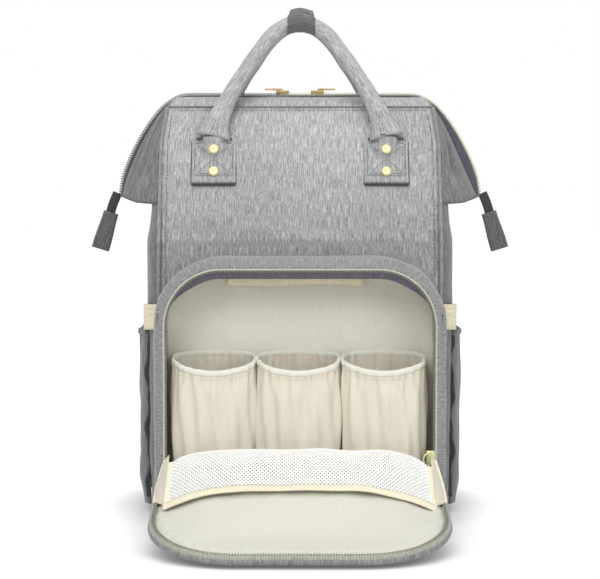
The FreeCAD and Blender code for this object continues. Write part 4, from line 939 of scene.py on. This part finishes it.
def handle(word, facing):
    """A rolled handle: round grip, flatter legs, its ends sewn under the patches, a flared collar at each."""
    points = np.array(LEG, float)
    path = smooth_path(np.concatenate([points, points[:-1][::-1] * [-1, 1, 1]]), 150)
    run = lengths(path)
    end = np.minimum(run, run[-1] - run)
    wide = 7.4 + 2.2 * ease(75 - end, 0, 45) - 1.4 * (1 - ease(end, 4, 26)) + 2.2 * hump(end, 22, 11)
    high = 7.8 - 1.6 * ease(75 - end, 0, 45) - 2.6 * (1 - ease(end, 2, 20))
    ripple = 0.25 * np.sin(run / 2.7) * ease(60 - end, 0, 30) + 0.2 * np.sin(run / 4.9)
    path = path * [1, facing, 1]
    up = (0, facing * 0.9, 0.35)
    body = tube(
        f"{word}_handle_cloth", path, wide + ripple, high + ripple * 0.5, "heather", 28, up=up, power=2.3
    )
    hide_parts(f"{word}_handle")
    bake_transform(body)
    keep = slice(8, -8)
    across, rise = frames_along(path, up)
    sewn_path = path[keep] + rise[keep] * (high[keep, None] + 0.35) + across[keep] * 0.8
    sewn = stitches(f"{word}_handle_seam", [sewn_path], "dark_thread", pitch=3.4, long=2.4, thick=0.25)
    dress(sewn, f"{word}_handle")
    near = slice(6, 15)
    for side, order in (("right", 1), ("left", -1)):
        leg, from_end = path[::order][near], run[near]
        flare = 1 - ease(from_end, 10, 25)
        gather = 0.5 * np.sin(from_end * 2.1)
        collar_wide = wide[near] + 0.5 + 6.6 * flare + gather
        collar_high = high[near] + 0.5 + 1.0 * flare + 0.5 * gather
        collar = tube(
            f"{word}_handle_collar_{side}", leg, collar_wide, collar_high, "heather", 28, up=up, power=2.3
        )
        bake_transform(collar)


handle("front", 1)
handle("back", -1)
PATCH_X, PATCH_LOW, PATCH_HALF, PATCH_TALL = 82.0, 55.5, 21.0, 44.0
RIVET = [(4.6, -0.3), (4.7, 0.4), (4.3, 1.1), (3.4, 1.6), (2.0, 1.5), (1.2, 1.1), (0.05, 1.2)]


def patch_height(across, up, side):
    """Height of a handle patch over the panel: its thickness, a hump over the handle end, a thick fold."""
    over_end = np.exp(-((across / 10.5) ** 4)) * ease(up, 12, 46)
    swell = 5.0 * over_end + 1.2 * np.exp(-((across / 13) ** 4)) * ease(up, 0, 30)
    fold = 1.8 * (1 - ease(up, 3.5, 6.5))
    return 3.4 + swell + fold + 0.4 * waves(across * 2, up * 2, 33 + side)


def patch(word, facing, side, hand):
    """A square handle patch with rolled edges, box stitching and two rivets."""
    body = f"{word}_mouth"
    outward = (0, -facing, 0)

    def spot(across, out, up):
        return on_panel(side * PATCH_X + across, out, PATCH_LOW + up) * [1, facing, 1]

    def row(points):
        line = resample(points, 60)
        return spot(line[:, 0], patch_height(line[:, 0], line[:, 1], side) + 0.85, line[:, 1])

    def trim(part, line, wide, high, look):
        dress(cord(f"{word}_patch_{part}_{hand}", line, wide, high, look, up=outward), body)

    a = np.concatenate([[-21.0, -20.9], np.linspace(-20.2, 20.2, 34), [20.9, 21.0]])
    b = np.concatenate([[0, 0.1], np.linspace(0.8, PATCH_TALL - 0.8, 36), [PATCH_TALL - 0.1, PATCH_TALL]])
    aa, bb = net(a, b)
    rim = np.ones_like(aa)
    rim[0], rim[-1], rim[:, 0], rim[:, -1] = 0.1, 0.1, 0.1, 0.1
    rim[1, 1:-1] = rim[-2, 1:-1] = 0.75
    rim[1:-1, 1] = rim[1:-1, -2] = 0.75
    grid = spot(aa, patch_height(aa, bb, side) * rim + 0.6, bb)
    cloth_piece = dress(shell(f"{word}_patch_{hand}", grid, 1.6, "heather", flip=facing < 0), body)
    left, right, bottom, top = 3 - PATCH_HALF, PATCH_HALF - 3, 7.5, PATCH_TALL - 3
    paths = [
        row([(left, bottom), (right, bottom), (right, top), (left, top), (left, bottom)]),
        row([(left + 3, bottom + 3), (right - 3, top - 3)]),
        row([(left + 3, top - 3), (right - 3, bottom + 3)]),
        row([(left + 2.2, bottom + 2), (right - 2.2, bottom + 2)]),
    ]
    name = f"{word}_patch_stitch_{hand}"
    dress(stitches(name, paths, "dark_thread", pitch=2.6, long=1.8, thick=0.3, up=outward), body)
    # Painted shade: a grey cord round the patch's sides and foot darkens its edges.
    shaded_outline = resample([(-21.3, 44.2), (-21.3, -0.3), (21.3, -0.3), (21.3, 44.2)], 70)
    trim("edge", spot(shaded_outline[:, 0], 1.0, shaded_outline[:, 1]), 0.7, 0.9, "tail")
    # Painted shadow: a black cord under the patch's foot stands for the shadow below its thick fold.
    trim("foot", spot(np.linspace(-21, 21, 20), 2.2, -1.0), 1.1, 2.2, "black")
    # Painted shade: a dark rolled cord along the patch's top stands for the shade where the handle end tucks
    # under the patch.
    shaded_roll_x = np.linspace(-16.5, 16.5, 40)
    shaded_roll_out = patch_height(shaded_roll_x, 44.0 + 0 * shaded_roll_x, side) + 1.0 + 3.6 * (1 - (shaded_roll_x / 16.5) ** 2)
    trim("crease", spot(shaded_roll_x, shaded_roll_out, 45.4), 1.5, 1.4, "dark")
    rivet = np.array(RIVET)
    rr, tt = net(np.arange(len(rivet)), np.linspace(0, 2 * np.pi, 25))
    for number, up in enumerate((12.0, 33.0)):
        out = float(patch_height(np.array(0.0), np.array(up), side)) + 0.7 + rivet[rr, 1]
        spots = spot(rivet[rr, 0] * np.cos(tt), out, up + rivet[rr, 0] * np.sin(tt)).transpose(1, 0, 2)
        name = f"{word}_rivet_{hand}_{number}"
        dress(shell(name, spots, 0.4, "rivet", ring=True, flip=facing > 0), body)
    return cloth_piece


for facing, word in ((1, "front"), (-1, "back")):
    for side, hand in SIDES:
        piece = patch(word, facing, side, hand)
    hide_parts(f"{word}_handle_patches")
    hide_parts(f"{word}_rivets")

# dark sleeve round the front grip and its free end
tt, xx = net(np.linspace(math.radians(62), math.radians(298), 30), np.linspace(-12.0, 14.5, 16))
radius = 9.3 + 0.25 * np.sin(xx * 0.9 + 3 * tt)
cover = xyz(xx, -9.1 + radius * np.cos(tt), 469 - 0.0169 * xx**2 + radius * np.sin(tt))
dress(shell("grip_sleeve", cover, 1.0, "tail"), "front_handle", "handle_wrap")
s, t = net(np.linspace(-1, 1, 20), np.linspace(0, 1, 16))
x = 1.5 + s * (12.2 - 1.6 * t**2)
z = 478.4 - 0.0169 * x**2 * (1 - 0.4 * t) + 5.6 * t**0.8 + 0.6 * np.sin(3 * s + 2 * t)
dress(shell("grip_tongue", xyz(x, -9.0 + 14.0 * t, z), 1.5, "tail"), "front_handle")

# ---- sides
for side, word in SIDES:
    heights = np.concatenate([np.linspace(8.5, 16, 5), np.linspace(20, 160, 36), np.linspace(163, 172, 6)])
    y, z = net(np.linspace(-60, 60, 60), heights)
    puff = np.clip(1 - np.abs(y / 60.5) ** 5, 0, 1) ** 0.6
    gather = 0.8 * np.sin(y / 3.1 + 0.3 * np.sin(z / 14)) * ease(z, 118, 168)
    folds = 1.6 * waves(y * 1.4, z, 51 + side)
    out = 13.2 * puff * (0.72 + 0.28 * ease(z, 8, 34)) * (1 - 0.12 * ease(z, 130, 172))
    x = side * (HALF + 0.4 + out + (gather + folds) * puff * ease(z, 8, 30))
    pocket = shell(f"side_pocket_cloth_{word}", xyz(x, y, z), 1.6, "heather_shaded_most", flip=side < 0)
    dress(pocket, "bag", f"side_pocket_{word}")
    hem_path = xyz(x[:, -1], y[:, -1], z[:, -1])
    dress(tube(f"side_pocket_hem_{word}", hem_path, 1.6, 3.2, "heather_shaded_most", 10), "bag")
    # Painted shadow: a black wavy cord along the pocket's front edge stands for the shaded gap between the
    # pocket and the body.
    z = np.linspace(16, 170, 60)
    gap_shadow_x = HALF + 3.0 + 1.6 * np.sin(z / 9.0 + side) + 0.8 * np.sin(z / 4.1)
    dress(cord(f"side_pocket_gap_shadow_{word}", xyz(side * gap_shadow_x, -60.6, z), 2.2, 1.0, "black"), "bag")
    turn = np.linspace(0, np.pi / 2, 10)
    plan = [(SEAM_X + 0.5, -DEEP - 1.6)]
    plan += [(SEAM_X + 4 + 7.6 * np.sin(a), -DEEP - 0.8 + 16.6 * (1 - np.cos(a))) for a in turn]
    plan = smooth_path(plan + [(HALF + 1.4, y) for y in (-54, -49, -44)], 30)
    k, z = net(np.arange(30), np.linspace(177, 201, 10))
    slack = 4.6 * np.sin(np.pi * np.clip((k - 4) / 25.0, 0, 1)) ** 0.8
    tab_grid = xyz(side * (plan[k, 0] + 1.0 + slack), plan[k, 1] - 0.5 * slack, z - 1.5 * k / 30)
    tab = shell(f"side_tab_{word}", tab_grid, 1.6, "webbing", flip=side < 0, uv_turn=True)
    dress(tab, "bag", *(["side_tabs"] if side < 0 else []))

# ---- zip ends
TILT = math.radians(17)


def down_tail(side, across, deep, down):
    """World spot on a zip end, from its pivot."""
    x = 178.6 + across * math.cos(TILT) + down * math.sin(TILT)
    return xyz(side * x, deep, 303.6 - down * math.cos(TILT) + across * math.sin(TILT))


for side, word in SIDES:
    body = f"zip_tail_{word}"
    down = np.linspace(-1, 27, 20)
    path = down_tail(side, 1.2 * np.sin(down / 9.0), 0, down)
    dress(tube(f"{body}_tape", path, 1.1, 4.6, "black", 12, up=(1, 0, 0), power=4.0), body)
    down = np.linspace(19, 56.5, 30)
    grow = 7.4 + 1.4 * ease(down, 22, 50)
    thick = 2.4 + 1.1 * np.sin(np.pi * np.clip((down - 19) / 37.5, 0, 1)) ** 0.5
    path = down_tail(side, 0.5, 0, down)
    dress(tube(f"{body}_tab", path, thick, grow, "tail", 24, up=(1, 0, 0), power=4.5), body, body)
    border = resample([(-5.6, 22.5), (5.9, 22.5), (7.0, 53.5), (-6.2, 53.5), (-5.6, 22.5)], 80)
    paths = [down_tail(side, border[:, 0], deep, border[:, 1]) for deep in (-3.75, 3.75)]
    dress(stitches(f"{body}_stitch", paths, "dark_thread", pitch=2.8, long=1.8, thick=0.25), body)

# ---- shoulder straps
BACK_WAY = (0, 1, 0)
for side, word in SIDES:
    s = np.linspace(0, 1, 60)
    path = xyz(side * (52 + 36 * s), 82.6 + 1.2 * np.sin(np.pi * s), 250 - 155 * s)
    wide = 30.0 - 2.5 * np.sin(np.pi * s) - 4.0 * ease(s, 0.9, 1.0)
    thick = 5.0 - 1.6 * (1 - ease(s, 0, 0.05)) - 1.6 * ease(s, 0.94, 1.0) + 0.3 * np.cos(s * 40)
    pad = tube(f"shoulder_pad_{word}", path, wide, thick, "heather", 40, up=BACK_WAY, power=3.2)
    dress(pad, "bag", f"shoulder_strap_{word}")
    across, rise = frames_along(path, BACK_WAY)
    top = path + rise * (thick[:, None] + 0.1)
    edges = [(top + across * sign * (wide[:, None] - 5))[3:-3] for sign in (-1, 1)]
    sewn = stitches(f"shoulder_stitch_{word}", edges, "dark_thread", pitch=3.6, long=2.6, up=BACK_WAY)
    dress(sewn, "bag")
web_top, web_low = np.array([88.0, 79.3, 91.4]), np.array([122.0, 79.3, 22.0])
for side, word in SIDES:
    s = np.linspace(-0.04, 1, 40)[:, None]
    path = (web_top * (1 - s) + web_low * s) * [side, 1, 1]
    path[:, 1] -= 3.2 * ease(s[:, 0], 0.86, 1.0)
    strap = tube(f"strap_webbing_{word}", path, 12.4, 0.9, "black", 16, up=BACK_WAY, power=6.0)
    dress(strap, "bag", *(["strap_webbings"] if side < 0 else []))
yoke = rounded_slab(
    "strap_yoke_cloth", 95, 13, 6, [0, 0.6, 1.6, 2.0], [1.2, 0.2, 0.2, 1.2], "heather_shaded",
    stand=lambda p: xyz(p[:, 0], 75.2 + p[:, 2], 245 - p[:, 1]),
)  # fmt: skip
dress(yoke, "bag", "strap_yoke")

path = xyz(119.6, -130.3, np.linspace(58.4, 70.6, 8))
body = tube("pocket_slider_body", path, 4.3, 2.0, "pale_gold", 16, up=FRONT_WAY, power=3.5)
turn = np.linspace(0, 2 * np.pi, 25)[:-1]
path = xyz(116.2 + 3.4 * np.cos(turn), -133.0 + 0.6 * np.sin(turn), 62.5 + 5.2 * np.sin(turn))
ring = tube("pocket_slider_ring", path, 0.9, 0.9, "pale_gold", 8, closed=True)
dress(body, "pocket_slider", "pocket_slider")
dress(ring, "pocket_slider")

# ---- nodes that keep their own shape
KEEP = {
    "dark": ("main_lining", "mouth_gussets"),
    "steel": ("front_frame_wire", "back_frame_wire"),
    "gold": ("main_slider_right", "main_slider_left", "main_pull_right", "main_pull_left"),
    "plastic": ("base_board", "strap_adjuster_right", "strap_adjuster_left"),
}
for look, nodes in KEEP.items():
    for node in nodes:
        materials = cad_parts[node].data.materials
        materials.clear()
        materials.append(LOOK_AND_SLOT[look][0])

# ---- studio
floor_mesh = bpy.data.meshes.new("floor")
floor_mesh.from_pydata([(-6, -4, 0), (6, -4, 0), (6, 8, 0), (-6, 8, 0)], [], [(0, 1, 2, 3)])
floor = bpy.data.objects.new("floor", floor_mesh)
bpy.context.collection.objects.link(floor)
# Painted shadow: the floor glows white and its glow is darkened by ambient occlusion near the bag, standing
# in for a cast contact shadow.
white = Nodes("studio_floor")
near = white.add("AmbientOcclusion", {"Distance": 0.06})
shade = white.ramp(near, [(0.0, (0.1, 0.1, 0.1)), (0.45, (0.5, 0.5, 0.5)), (0.85, (1.0, 1.0, 1.0))])
white.surface(Base_Color=(0.0, 0.0, 0.0, 1.0), Roughness=1.0, Emission_Color=shade, Emission_Strength=1.0)
floor_mesh.materials.append(white.material)


def lamp(name, place, target, power):
    """A square soft lamp that looks at a target."""
    data = bpy.data.lights.new(name, "AREA")
    data.shape = "RECTANGLE"
    data.size = data.size_y = 1.2
    data.energy = power
    piece = bpy.data.objects.new(name, data)
    piece.location = place
    piece.rotation_euler = (Vector(target) - Vector(place)).to_track_quat("-Z", "Y").to_euler()
    bpy.context.collection.objects.link(piece)


lamp("key", (-0.7, -1.9, 1.5), (0, 0, 0.25), 25)
lamp("fill", (1.2, -1.7, 0.9), (0, 0, 0.2), 13)
lamp("top", (0, -0.5, 1.9), (0, 0, 0.2), 15)

# a white background that lights the bag less than it shows
world = bpy.data.worlds.new("studio")
world.use_nodes = True
sky = world.node_tree
seen = sky.nodes.new("ShaderNodeLightPath")
lit = sky.nodes.new("ShaderNodeMath")
lit.operation = "MULTIPLY_ADD"
lit.inputs[1].default_value = 0.65
lit.inputs[2].default_value = 0.35
sky.links.new(seen.outputs["Is Camera Ray"], lit.inputs[0])
sky.nodes["Background"].inputs[0].default_value = (1, 1, 1, 1)
sky.links.new(lit.outputs[0], sky.nodes["Background"].inputs[1])
scene = bpy.context.scene
scene.world = world
camera_data = bpy.data.cameras.new("camera")
camera_data.lens = 109.1
camera_data.sensor_width = 36
camera = bpy.data.objects.new("camera", camera_data)
camera.location = (0.0, -1.78, 0.325)
camera.rotation_euler = (math.radians(86.3), 0, 0)
bpy.context.collection.objects.link(camera)
scene.camera = camera
scene.render.resolution_x, scene.render.resolution_y = 600, 579
scene.view_settings.view_transform = "Standard"
